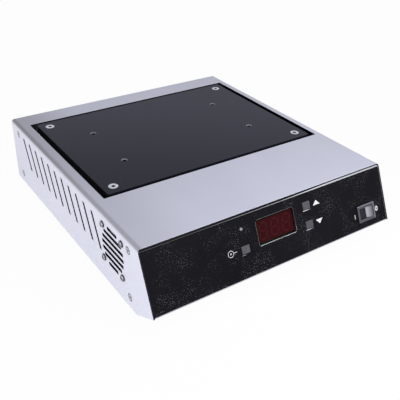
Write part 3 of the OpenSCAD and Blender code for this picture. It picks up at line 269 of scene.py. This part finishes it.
def corner_distance(first, second, first_span, second_span):
    """Distance to the nearest corner of the rectangle that two spans make."""
    return (first.beyond(*first_span) ** 2 + second.beyond(*second_span) ** 2) ** 0.5


def screw_shade_rims(f):
    """1 around the four cover screws of each side: the ring of painted shade in their countersinks."""
    return corner_distance(f.axis("Y"), f.axis("Z"), SCREW_Y, SCREW_Z) < SCREW_RIM


def slit_shade_rims(f):
    """1 on the slanted slits and just around them, where shade is painted: row counts them along their slant,
    0 at the rear.
    """
    up = f.axis("Z")
    row = (f.axis("Y") + (SLIT_Z[1] - up) * math.tan(SLIT_LEAN) - SLIT_REAR) / SLIT_PITCH
    apart = abs((row + 0.5).fraction() - 0.5) * (SLIT_PITCH * math.cos(SLIT_LEAN))
    foremost = (f.axis("X") > 0.0) * (SLITS_LEFT - SLITS_RIGHT) - (SLITS_LEFT - 0.5)
    height = up.within(SLIT_Z[0] - SLIT_RIM, SLIT_Z[1] + SLIT_RIM)
    return (apart < SLIT_W / 2 + SLIT_RIM) * row.within(foremost, 0.5) * height


def left_fold_shade(f):
    """How much painted shade lies on the cover's left fold: most on the fold, fading over the top beside it.
    """
    inward = f.axis("X") + SIDE
    fold = inward.step(5.0, 1.3) * 0.58
    beside = inward.step(65.0, 9.0) * (f.axis("Y").step(-100.0, 140.0) * 0.32 + 0.18)
    return inward.step(-0.2, 0.8) * (fold + beside) * (f.axis("Z") > TOP - 3.6)


def cut_edge_shade(f):
    """1 on the cut edges of the cover, painted dark as partly oxide and partly shade: in the openings of its
    sides, in the plate's window, at the front.
    """
    x = f.axis("X")
    y = f.axis("Y")
    z = f.axis("Z")
    sides = abs(x).within(*SIDE_X) * y.within(*SIDE_Y) * z.within(*SIDE_Z)
    window = x.within(*WINDOW_X) * y.within(*WINDOW_Y) * z.within(*WINDOW_Z)
    front = (slope_out(f) > -0.08) * (z < TOP - 0.3)
    return (sides + window + front).capped()


def display_rim_metal_and_highlight(f):
    """How much uncoated metal and painted highlight show around the display: all of its lower edge, which
    faces up, less of the other three.
    """
    out = slope_out(f)
    side = f.axis("X") - DISPLAY_U
    tall = slope_down(f) - DISPLAY_S
    hair = 0.01
    reach = 0.25
    wall_depth = 0.4
    lip_depth = 0.03
    wall_u = DISPLAY_W / 2 - DISPLAY_RIM - hair
    wall_s = DISPLAY_H / 2 - DISPLAY_RIM - hair
    near = (abs(side) < DISPLAY_W / 2 + reach) * (abs(tall) < DISPLAY_H / 2 + reach)
    lower = (tall > wall_s) * (out > -PANEL_SET - wall_depth)
    left = (side < -wall_u) * 0.45
    upper = (tall < -wall_s) * 0.25
    right = (side > wall_u) * (tall.step(4.0, 9.0) * 0.5 + 0.15)
    return near * (lower + (left + upper + right) * (out > -PANEL_SET - lip_depth))


def top_fold_metal_and_highlight(f):
    """How much of the fold along the panel's top shows uncoated, with a painted highlight: a line that grows
    wider and brighter to the right.
    """
    x = f.axis("X")
    line = f.axis("Z").within(TOP - 2.8, x.step(0.0, 100.0) + (TOP - 2.5))
    return line * (slope_down(f) < 6.0) * (x.step(-90.0, 80.0) * 0.85 + 0.12)


def key_highlights_and_foil_foot(f):
    """Painted highlights and the foil's foot: a pale highlight line under each key, brightest on its left,
    and the pale foot.
    """
    x = f.axis("X")
    down = slope_down(f)
    step_line = 0.3
    mode_line = 0.2
    under = CAP_H / 2 + CAP_GAP + step_line / 2
    left = CAP_W / 2 + CAP_GAP
    first = abs(down - (STEP_UP_S + under)) < step_line
    second = abs(down - (STEP_DOWN_S + under)) < step_line
    # Painted highlights: a pale line under each key, fading to the right.
    step_highlights = (first + second * 0.7) * (x - STEP_U).step(5.1, -1.4) * (x > STEP_U - left)
    third = abs(down - (MODE_S + under)) < mode_line
    mode_highlight = third * (x - MODE_U).step(0.6, -2.4) * (x > MODE_U - left)
    foot = down > FOOT_S
    return (step_highlights + mode_highlight * 0.4 + foot * 0.6).capped()


# Finishes

def mottled(name, pale, dark, rough, metal=0.0, scale=60.0, grain=900.0, relief=0.02, **constants):
    """A surface whose colour clouds between two tones, with fine grain in its relief and its gloss."""
    f = Finish(name, Metallic=metal, **constants)
    cloud = f.noise(scale, 4.0)
    fine = f.noise(grain, 2.0)
    f.set("Base Color", f.mix(cloud.step(0.3, 0.7) * 0.8 + fine * 0.2, dark, pale))
    f.set("Roughness", rough + (fine - 0.5) * 0.16)
    return f.bump(fine, 0.35, relief)


def cover_paint():
    """Satin silver-grey: fine metallic grain, soft clouds, rub marks; painted shade along the left fold,
    around the screws and slits and on the cut edges, which are partly dark oxide.
    """
    f = Finish("satin_silver", Specular_IOR_Level=0.25)
    cloud = f.noise(9.0, 5.0, 0.6)
    grain = f.noise(1500.0, 2.0)
    rub = f.noise(260.0, 3.0, at=f.stretch((1.0, 0.12, 1.0), (0.0, 0.0, 0.5)))
    tone = cloud.step(0.25, 0.75) * 0.5 + grain * 0.3 + rub * 0.2
    paint = f.mix(tone, (0.48, 0.493, 0.61), (0.56, 0.573, 0.695))
    # Painted shade: near-black rings round the cover screws and dark edges round the slits of the sides.
    shade_rims = (screw_shade_rims(f) + slit_shade_rims(f)) * (abs(f.axis("X")) > SIDE_X[0])
    paint = f.mix(shade_rims * 0.95, paint, (0.05, 0.05, 0.058))
    # Painted shade darkens the left fold and the top beside it.
    paint = f.mix(left_fold_shade(f), paint, (0.2, 0.2, 0.235))
    # Cut edges near black: partly dark oxide of the cut sheet, partly painted shade in the openings and gaps.
    cut = cut_edge_shade(f)
    f.set("Base Color", f.mix(cut, paint, (0.014, 0.014, 0.017)))
    f.set("Metallic", cut * 0.85 + 0.1)
    f.set("Roughness", 0.46 + (grain - 0.5) * 0.12 + (cloud - 0.5) * 0.1)
    return f.bump(grain, 0.18, 0.02)


def panel_metal():
    """Front panel: brushed metal behind, black coat in front, uncoated metal with painted highlights at the
    display and the top fold.
    """
    f = Finish("panel_metal", Specular_IOR_Level=0.03)
    lines = f.noise(2200.0, 2.0, at=f.stretch((0.02, 1.0, 1.0)))
    behind = (slope_out(f) < 0.1 - PANEL_SET - PANEL_T) * (slope_down(f) > 6.0)
    # Uncoated metal behind, with painted highlights at the display's edges and along the top fold.
    bare_and_highlight = (display_rim_metal_and_highlight(f) + top_fold_metal_and_highlight(f) + behind).capped()
    metal = f.mix(lines, (0.5, 0.51, 0.54), (0.66, 0.67, 0.7))
    f.set("Base Color", f.mix(bare_and_highlight, (0.008, 0.008, 0.01), metal))
    f.set("Metallic", bare_and_highlight * 0.9)
    f.set("Roughness", 0.5 + (lines - 0.5) * 0.2)
    return f.bump(lines, 0.2, 0.01)


def panel_black():
    """Matt black foil with painted highlight lines under the keys, a pale foot and fine dust: points where
    scattered cells come close.
    """
    f = Finish("panel_black", Specular_IOR_Level=0.03)
    dust = 1 - f.cells(900.0).step(0.06, 0.3)
    where = f.noise(60.0, 3.0).step(0.4, 0.64)
    cloud = f.noise(14.0, 4.0)
    film = f.mix(cloud, (0.003, 0.003, 0.0048), (0.0085, 0.0085, 0.0118))
    film = f.mix(dust * where * 0.32, film, (0.5, 0.5, 0.55))
    # Pale foot and painted highlight lines under the keys.
    f.set("Base Color", f.mix(key_highlights_and_foil_foot(f), film, (0.62, 0.62, 0.7)))
    f.set("Roughness", 0.52 + (cloud - 0.5) * 0.2)
    return f.bump(f.noise(1800.0, 2.0), 0.12, 0.01)


def plate_coat():
    """Dark blue-grey hard coat: blasted grain, cloudy heat marks, a painted sheen that makes it paler to the
    rear right, sparse dust, pale chamfers with a painted glint round the threaded holes, painted shade on the
    sides.
    """
    f = Finish("plate_coat", Specular_IOR_Level=0.11)
    x = f.axis("X")
    y = f.axis("Y")
    heat = f.noise(16.0, 4.0, 0.6)
    grain = f.noise(1400.0, 2.0)
    dust = (1 - f.cells(240.0).step(0.03, 0.09)) * f.noise(50.0, 2.0).step(0.5, 0.7)
    tone = f.mix(heat.step(0.3, 0.7) * 0.7 + grain * 0.3, (0.024, 0.024, 0.042), (0.035, 0.035, 0.058))
    # Painted sheen: paler to the rear right, darker to the front left.
    painted_sheen = (y + x * 0.6).step(-100.0, 130.0)
    tone = f.mix((1 - painted_sheen) * 0.8, tone, (0.006, 0.006, 0.014))
    tone = f.mix(dust * 0.35, tone, (0.45, 0.46, 0.5))
    # Uncoated chamfers round the threaded holes, pale as a painted glint.
    mouth_bare_and_glint = corner_distance(x, y, ACCESSORY_X, ACCESSORY_Y) < MOUTH_R
    tone = f.mix(mouth_bare_and_glint, tone, (0.2, 0.2, 0.23))
    # Painted shade: the plate's sides below its top edge nearly black.
    wall_shade = f.axis("Z") < PLATE_TOP - 0.9
    f.set("Base Color", f.mix(wall_shade, tone, (0.006, 0.006, 0.008)))
    f.set("Roughness", 0.5 + (grain - 0.5) * 0.2 + (heat - 0.5) * 0.12)
    return f.bump(grain, 0.25, 0.02)


def screw_metal(name, pale, dark, along, face, rough=0.34):
    """Bright plated screw, with painted shade in its socket and on its flanks: below a level of its own axis.
    """
    f = Finish(name, Metallic=0.85)
    fine = f.noise(1800.0, 2.0)
    cloud = f.noise(500.0, 3.0)
    deep_shade = abs(f.axis(along)) < face
    plated = f.mix(cloud.step(0.3, 0.7) * 0.8 + fine * 0.2, dark, pale)
    # Painted shade in the socket and on the flanks.
    f.set("Base Color", f.mix(deep_shade * 0.92, plated, (0.02, 0.02, 0.024)))
    f.set("Roughness", rough + (fine - 0.5) * 0.16 + deep_shade * 0.3)
    return f.bump(fine, 0.3, 0.02)


def circuit_green():
    """Solder mask over thin copper runs: narrow wavy bands, broken up by cells."""
    f = Finish("circuit_green")
    bands = f.node("ShaderNodeTexWave", {"wave_type": "BANDS", "bands_direction": "X"},
                   {"Vector": f.place, "Scale": 130.0, "Distortion": 2.0, "Detail": 1.0}, out=1)
    runs = bands.step(0.72, 0.86) * f.cells(90.0).step(0.2, 0.4)
    f.set("Base Color", f.mix(runs, (0.008, 0.05, 0.022), (0.03, 0.13, 0.05)))
    f.set("Roughness", 0.38 + runs * 0.1)
    return f.bump(runs, 0.4, 0.04)


def mat_fibre():
    """White ceramic fibre: matted strands from two noises squeezed in crossed directions."""
    f = Finish("mat_fibre", Specular_IOR_Level=0.1)
    one = f.noise(500.0, 3.0, at=f.stretch((1.0, 0.1, 1.0), (0.0, 0.0, 0.6)))
    two = f.noise(500.0, 3.0, at=f.stretch((1.0, 0.1, 1.0), (0.0, 0.0, -0.9)))
    f.set("Base Color", f.mix(one * two * 2.2, (0.6, 0.58, 0.53), (0.82, 0.81, 0.78)))
    f.set("Roughness", 0.85 + (one - 0.5) * 0.1)
    return f.bump(one + two, 0.6, 0.4)


def bezel_grey():
    """Grey moulded bezel, with painted highlights along its upper and right edges and painted shade, nearly
    black, on its flanks and inside.
    """
    f = Finish("bezel_grey", Specular_IOR_Level=0.2)
    cloud = f.noise(250.0, 4.0)
    fine = f.noise(2500.0, 2.0)
    face = slope_out(f).step(SKIN_W + BEZEL_T - 0.4, SKIN_W + BEZEL_T - 0.1)
    moulded = f.mix(cloud * 0.8 + fine * 0.2, (0.052, 0.052, 0.066), (0.075, 0.075, 0.094))
    # Painted highlights along the upper and right edges.
    upper = slope_down(f) < SWITCH_S - BEZEL_H / 2 + 0.9
    right = f.axis("X") > SWITCH_U + BEZEL_W / 2 - 1.1
    moulded = f.mix((upper + right).capped() * 0.75, moulded, (0.19, 0.19, 0.225))
    # Painted shade: flanks and inside nearly black, only the front face keeps its colour.
    f.set("Base Color", f.mix(face, (0.008, 0.008, 0.01), moulded))
    f.set("Roughness", 0.45 + (fine - 0.5) * 0.16)
    return f.bump(fine, 0.3, 0.02)


def rocker_grey():
    """Rocker: painted shade on its left half, a painted reflection that makes its right half pale, most at
    the valley.
    """
    f = Finish("rocker_grey", Specular_IOR_Level=0.1)
    cloud = f.noise(250.0, 4.0)
    side = f.axis("X") - SWITCH_U
    # Painted shade: the left half nearly black.
    dark = f.mix(cloud, (0.01, 0.01, 0.014), (0.016, 0.016, 0.022))
    # Painted reflection: the right half pale at the valley, darker towards its end.
    painted_sheen = f.mix(side.step(0.4, 6.9), (0.27, 0.27, 0.32), (0.1, 0.1, 0.125))
    f.set("Base Color", f.mix(side.step(-0.8, 0.2), dark, painted_sheen))
    f.set("Roughness", 0.32 + (cloud - 0.5) * 0.12)
    return f.bump(cloud, 0.1, 0.01)


def steatite():
    """Cream ceramic posts, painted dark with shade towards the plate."""
    f = Finish("steatite", Specular_IOR_Level=0.2)
    cloud = f.noise(150.0, 4.0)
    cream = f.mix(cloud, (0.66, 0.62, 0.53), (0.8, 0.77, 0.68))
    # Painted shade: near black towards the plate, cream lower down.
    shade_towards_plate = (f.axis("Z") + (cloud - 0.5) * 6.0).step(32.0, 46.0)
    f.set("Base Color", f.mix(shade_towards_plate, cream, (0.022, 0.019, 0.017)))
    f.set("Roughness", 0.6 + (cloud - 0.5) * 0.16)
    return f.bump(cloud, 0.2, 0.03)


def red_filter():
    """Dark red glossy filter, a little clouded."""
    f = Finish("red_filter", Specular_IOR_Level=0.02)
    cloud = f.noise(90.0, 3.0)
    f.set("Base Color", f.mix(cloud, (0.022, 0.0028, 0.0042), (0.031, 0.0046, 0.006)))
    f.set("Roughness", 0.28 + (cloud - 0.5) * 0.1)
    return f.bump(cloud, 0.05, 0.05)


def print_ink():
    """White screen print, with slight wear."""
    f = Finish("print_ink", Specular_IOR_Level=0.3)
    wear = f.noise(900.0, 3.0)
    f.set("Base Color", f.mix(wear.step(0.3, 0.62), (0.42, 0.42, 0.44), (0.78, 0.78, 0.8)))
    return f.set("Roughness", 0.55 + (wear - 0.5) * 0.1)


def segment_red():
    """Unlit bars of the display: a little paler than the filter around them."""
    f = Finish("segment_red", Specular_IOR_Level=0.02)
    cloud = f.noise(300.0, 2.0)
    f.set("Base Color", f.mix(cloud, (0.039, 0.0058, 0.0073), (0.049, 0.0074, 0.0095)))
    return f.set("Roughness", 0.35 + (cloud - 0.5) * 0.1)


def dress(finish, *names):
    """Puts one finish on CAD nodes."""
    for name in names:
        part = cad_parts[name]
        if not part.material_slots:
            part.data.materials.append(finish.material)
        for place in part.material_slots:
            place.material = finish.material


# Case
dress(cover_paint(), "cover", "rear_panel")
dress(panel_black(), "panel_overlay")
dress(panel_metal(), "front_panel")
dress(mottled("zinc_sheet", (0.62, 0.63, 0.66), (0.45, 0.46, 0.49), rough=0.4, metal=0.85, scale=45.0),
      "base_tray", "rear_brackets")
dress(mottled("foot_rubber", (0.03, 0.03, 0.032), (0.018, 0.018, 0.02), rough=0.75, scale=200.0,
              grain=1500.0, relief=0.05), "rubber_feet")

# Screws
dress(screw_metal("cover_screw", (0.62, 0.63, 0.67), (0.3, 0.31, 0.34), "X", SIDE - 0.2), "cover_screws")
dress(screw_metal("plate_screw", (0.6, 0.62, 0.69), (0.4, 0.42, 0.48), "Z", PLATE_TOP - 0.4), "plate_screws")
dress(screw_metal("fan_screw", (0.34, 0.35, 0.4), (0.16, 0.165, 0.19), "X", SIDE + 1.0, rough=0.5),
      "fan_screws")
dress(mottled("plain_steel", (0.58, 0.58, 0.6), (0.44, 0.44, 0.46), rough=0.36, metal=0.95, scale=300.0),
      "foot_screws", "foot_nuts", "pan_spacers", "base_bolts", "clamp_screws", "board_screws",
      "power_screws", "inlet_screws", "remote_nut", "fan_nuts", "clamp_plate", "temperature_sensor",
      "thermal_cutout")

# Heater
dress(plate_coat(), "heating_plate")
dress(steatite(), "plate_standoffs")
dress(mottled("mica_sheet", (0.4, 0.27, 0.15), (0.24, 0.15, 0.08), rough=0.5, scale=220.0),
      "heater_element")
dress(mottled("pan_black", (0.02, 0.02, 0.022), (0.01, 0.01, 0.012), rough=0.6), "reflector_pan")
dress(mat_fibre(), "insulation_mat")

# Controls
dress(mottled("display_black", (0.016, 0.014, 0.015), (0.008, 0.007, 0.008), rough=0.4, scale=150.0),
      "display_module")
dress(red_filter(), "display_filter")
dress(mottled("cap_grey", (0.074, 0.074, 0.092), (0.054, 0.054, 0.069), rough=0.5, scale=250.0,
              grain=2500.0, Specular_IOR_Level=0.2), "button_up", "button_down", "button_mode")
dress(mottled("led_milky", (0.25, 0.25, 0.27), (0.17, 0.17, 0.19), rough=0.3, scale=500.0), "status_led")
dress(bezel_grey(), "power_switch")
dress(rocker_grey(), "power_rocker")

# Boards and what stands on them
dress(circuit_green(), "control_board", "power_board")
dress(mottled("terminal_green", (0.04, 0.26, 0.09), (0.02, 0.17, 0.06), rough=0.45, scale=120.0),
      "terminal_block")
dress(mottled("spacer_brass", (0.66, 0.48, 0.2), (0.5, 0.35, 0.14), rough=0.34, metal=1.0, scale=300.0),
      "board_spacers", "earth_terminal")
dress(mottled("black_moulding", (0.022, 0.022, 0.025), (0.012, 0.012, 0.014), rough=0.5, scale=160.0),
      "key_switches", "led_spacer", "triac", "fuse", "mains_inlet", "remote_socket", "fan_frame",
      "fan_rotor")
dress(mottled("post_nylon", (0.76, 0.73, 0.64), (0.66, 0.62, 0.53), rough=0.5, scale=200.0),
      "power_posts")
dress(mottled("core_varnish", (0.14, 0.09, 0.045), (0.08, 0.05, 0.025), rough=0.4, metal=0.3, scale=120.0),
      "transformer")
dress(mottled("sink_black", (0.035, 0.035, 0.038), (0.02, 0.02, 0.022), rough=0.42, metal=0.5, scale=150.0),
      "heatsink")
dress(mottled("blue_case", (0.02, 0.07, 0.3), (0.012, 0.045, 0.2), rough=0.35, scale=150.0),
      "relay", "capacitors")
dress(mottled("pin_nickel", (0.72, 0.7, 0.65), (0.58, 0.56, 0.51), rough=0.28, metal=1.0, scale=300.0),
      "inlet_pins")

# Leads
dress(mottled("heater_sleeve", (0.7, 0.68, 0.6), (0.55, 0.52, 0.44), rough=0.7, scale=400.0),
      "heater_leads", "sensor_lead")
dress(mottled("mains_sleeve", (0.16, 0.08, 0.045), (0.1, 0.05, 0.028), rough=0.5, scale=300.0),
      "mains_leads")
dress(mottled("fan_sleeve", (0.26, 0.03, 0.03), (0.17, 0.02, 0.02), rough=0.5, scale=300.0), "fan_lead")
dress(mottled("ribbon_grey", (0.42, 0.42, 0.44), (0.32, 0.32, 0.34), rough=0.5, scale=300.0),
      "ribbon_cable")


# Surfaces

def panel_points(u, s, w):
    """Places on the sloping front, in metres: u across, s down the slope, w out of it.

    Each point is the middle of the upper edge plus u along X, s along the slope and w along its normal.
    """
    u, s, w = np.broadcast_arrays(np.asarray(u, float), np.asarray(s, float), np.asarray(w, float))
    y = UPPER_EDGE - s * math.sin(LEAN) - w * math.cos(LEAN)
    z = TOP - s * math.cos(LEAN) + w * math.sin(LEAN)
    return np.stack([u, y, z], axis=-1) / MM


def grid_object(name, grids, material):
    """One mesh from several grids of points: each grid of n by m points gives (n - 1)(m - 1) quads."""
    points = []
    faces = []
    start = 0
    for grid in grids:
        n, m = grid.shape[:2]
        index = start + np.arange(n * m).reshape(n, m)
        quads = np.stack([index[:-1, :-1], index[1:, :-1], index[1:, 1:], index[:-1, 1:]], axis=-1)
        points.append(grid.reshape(-1, 3))
        faces.append(quads.reshape(-1, 4))
        start += n * m
    mesh = bpy.data.meshes.new(name)
    mesh.from_pydata(np.concatenate(points).tolist(), [], np.concatenate(faces).tolist())
    mesh.materials.append(material)
    obj = bpy.data.objects.new(name, mesh)
    scene.collection.objects.link(obj)
    return obj


def grid_piece(name, grids, finish, body="case"):
    """A new piece of the object from grids of points, carried by a body."""
    obj = grid_object(name, grids, finish.material)
    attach(obj, body)
    return obj


def ring(u, s, inner, outer, w, turns=48, narrow=0.0):
    """Flat ring: the radius runs from inner to outer while the angle runs once round.

    The radius across the panel is less by narrow, which makes the ring a slim oval.
    """
    angle, radius = np.meshgrid(np.linspace(0.0, 2 * np.pi, turns + 1), np.array([inner, outer]),
                                indexing="ij")
    return panel_points(u + (radius - narrow) * np.cos(angle), s + radius * np.sin(angle), w)


def bar(u0, s0, u1, s1, w):
    """Flat rectangle: both parameters run straight between its opposite corners."""
    across, down = np.meshgrid(np.linspace(u0, u1, 2), np.linspace(s1, s0, 2), indexing="ij")
    return panel_points(across, down, w)


def arrow(u, tip, base, half, w):
    """Flat triangle: its half width grows evenly from nothing at the tip to half at the base."""
    along, side = np.meshgrid(np.linspace(0.0, 1.0, 5), np.linspace(-1.0, 1.0, 5), indexing="ij")
    if base < tip:
        side = -side
    return panel_points(u + side * half * np.maximum(along, 0.01), tip + (base - tip) * along, w)


def segment(u, s, length, width, upright, slant, w):
    """One bar of a digit: its half width rises from a point at each end to full within half a width."""
    shoulder = 1.0 - width / length
    along, side = np.meshgrid(np.array([-1.0, -shoulder, shoulder, 1.0]), np.array([-1.0, 1.0]),
                              indexing="ij")
    half = np.where(np.abs(along) > 1.0 - width / length / 2, 0.04, 1.0) * width / 2 * side
    reach = along * length / 2
    du, ds = (half, reach) if upright else (reach, -half)
    return panel_points(u + du - (ds + s - DISPLAY_S) * slant, s + ds, w)


def digit(u, s, wide, tall, width, slant, w):
    """The seven bars of one digit and its point, placed on the two squares of an upright figure."""
    gap = 0.25
    flat = wide - width - gap
    stand = tall / 2 - width / 2 - gap
    bars = [segment(u, s + k * tall / 2, flat, width, False, slant, w) for k in (-1, 0, 1)]
    bars += [segment(u + i * wide / 2, s + k * tall / 4, stand, width, True, slant, w)
             for i in (-1, 1) for k in (-1, 1)]
    point_u = u + wide / 2 + 2.0 - tall / 2 * slant
    return bars + [ring(point_u, s + tall / 2, inner=0.02, outer=0.65, w=w, turns=16)]


# Printed marks beside the keys and the switch
ink = print_ink()
print_w = SKIN_W + PRINT_LIFT
up_arrow = arrow(STEP_U + 10.9, STEP_UP_S - 1.7, STEP_UP_S + 2.4, half=3.9, w=print_w)
down_arrow = arrow(STEP_U + 11.2, STEP_DOWN_S + 2.4, STEP_DOWN_S - 1.6, half=3.9, w=print_w)
mark_u = MODE_U - 14.6
mark_s = MODE_S - 0.9
mode_mark = [ring(mark_u, mark_s, inner=2.4, outer=2.8, w=print_w),
             ring(mark_u, mark_s, inner=0.02, outer=0.7, w=print_w),
             bar(mark_u + 3.0, mark_s - 0.2, mark_u + 5.8, mark_s + 0.2, print_w)]
off_ring = ring(SWITCH_U + 14.4, SWITCH_S + 0.6, inner=1.15, outer=2.3, w=print_w, narrow=0.5)
on_bar = bar(SWITCH_U - 13.3, SWITCH_S - 1.1, SWITCH_U - 12.6, SWITCH_S + 3.0, print_w)
grid_piece("mark_up", [up_arrow], ink)
grid_piece("mark_down", [down_arrow], ink)
grid_piece("mark_mode", mode_mark, ink)
grid_piece("mark_off", [off_ring], ink)
grid_piece("mark_on", [on_bar], ink)

# Unlit digits of the display
digit_pitch = 12.2
bars = []
for k in (-1, 0, 1):
    bars += digit(DISPLAY_U - 0.6 + k * digit_pitch, DISPLAY_S, wide=7.0, tall=13.4, width=1.5,
                  slant=0.12, w=FILTER_W + PRINT_LIFT)
grid_piece("display_bars", bars, segment_red())


# Stage

def seen_directly(tree):
    """1 for rays from the camera, off a gloss or through glass, 0 for those that light things."""
    camera = Finish.plug(tree, "ShaderNodeLightPath", out="Is Camera Ray")
    rays = camera.socket.node.outputs
    gloss = Value(tree, rays["Is Glossy Ray"])
    glass = Value(tree, rays["Is Transmission Ray"])
    return (camera + gloss + glass).capped()


def stage_floor():
    """Pale flat sheet out to the horizon, white to the camera but for the object's shadow."""
    reach = np.linspace(-9.0, 9.0, 3)
    x, y = np.meshgrid(reach, reach, indexing="ij")
    material = bpy.data.materials.new("floor_white")
    material.use_nodes = True
    tree = material.node_tree
    tree.nodes.clear()
    lit = Finish.plug(tree, "ShaderNodeBsdfDiffuse", inputs={"Color": (0.9, 0.9, 0.9)})
    glow = Finish.plug(tree, "ShaderNodeEmission", inputs={"Color": (1.0, 1.0, 1.0), "Strength": 1.0})
    mixed = Finish.plug(tree, "ShaderNodeMixShader", inputs={0: seen_directly(tree) * 0.95, 1: lit, 2: glow})
    put(tree, tree.nodes.new("ShaderNodeOutputMaterial").inputs["Surface"], mixed)
    obj = grid_object("floor", [np.stack([x, y, np.zeros_like(x)], axis=-1)], material)


def studio_world():
    """Even grey-white surroundings that the camera and reflections see as white."""
    world = bpy.data.worlds.new("studio")
    scene.world = world
    world.use_nodes = True
    tree = world.node_tree
    back = tree.nodes["Background"]
    put(tree, back.inputs["Color"], (1.0, 1.0, 1.0))
    put(tree, back.inputs["Strength"], seen_directly(tree) * 0.4 + 0.6)


def unit(vector):
    """A vector of length 1 the same way."""
    return vector / np.linalg.norm(vector)


def set_up(name, data, place, right, up, back):
    """Adds a lamp or camera at a place, with its own axes along right, up and back."""
    turn = np.eye(4)
    turn[:3] = np.stack([right, up, back, place], axis=1)
    obj = bpy.data.objects.new(name, data)
    obj.matrix_world = Matrix(turn.tolist())
    scene.collection.objects.link(obj)
    return obj


def soft_lamp(name, place, target, size, power, colour=(1.0, 1.0, 1.0)):
    """Oblong area lamp at a place, facing a target."""
    lamp = bpy.data.lights.new(name, "AREA")
    lamp.shape = "RECTANGLE"
    lamp.size, lamp.size_y = size
    lamp.energy = power
    lamp.color = colour
    away = unit(np.array(place) - np.array(target))
    side = unit(np.cross([0.0, 0.0, 1.0], away))
    set_up(name, lamp, place, side, np.cross(away, side), away)


def photo_camera():
    """Camera of the photograph: place, heading, tilt and roll fitted to the corners of the case."""
    place = (-0.292655, -0.448618, 0.336640)
    heading = 0.622724
    tilt = -0.503492
    roll = 0.031403
    ahead = np.array([math.sin(heading) * math.cos(tilt), math.cos(heading) * math.cos(tilt), math.sin(tilt)])
    level = unit(np.cross(ahead, [0.0, 0.0, 1.0]))
    upright = np.cross(level, ahead)
    right = math.cos(roll) * level + math.sin(roll) * upright
    up = math.cos(roll) * upright - math.sin(roll) * level
    lens = bpy.data.cameras.new("photo_camera")
    lens.lens = 56.3704
    lens.sensor_width = 36.0
    lens.shift_x = -0.040006
    lens.shift_y = -0.072786
    lens.clip_start = 0.01
    scene.camera = set_up("photo_camera", lens, place, right, up, -ahead)


stage_floor()
studio_world()
soft_lamp("left_softbox", place=(-1.1, -0.3, 0.09), target=(-0.12, 0.02, 0.04), size=(0.9, 0.16), power=8.9,
          colour=(1.0, 0.97, 0.88))
soft_lamp("right_softbox", place=(0.05, -0.3, 0.3), target=(0.01, -0.08, 0.06), size=(0.25, 0.25), power=0.6)
soft_lamp("front_softbox", place=(0.2, -1.25, 0.21), target=(0.1, -0.13, 0.04), size=(0.4, 0.24), power=2.4)
photo_camera()
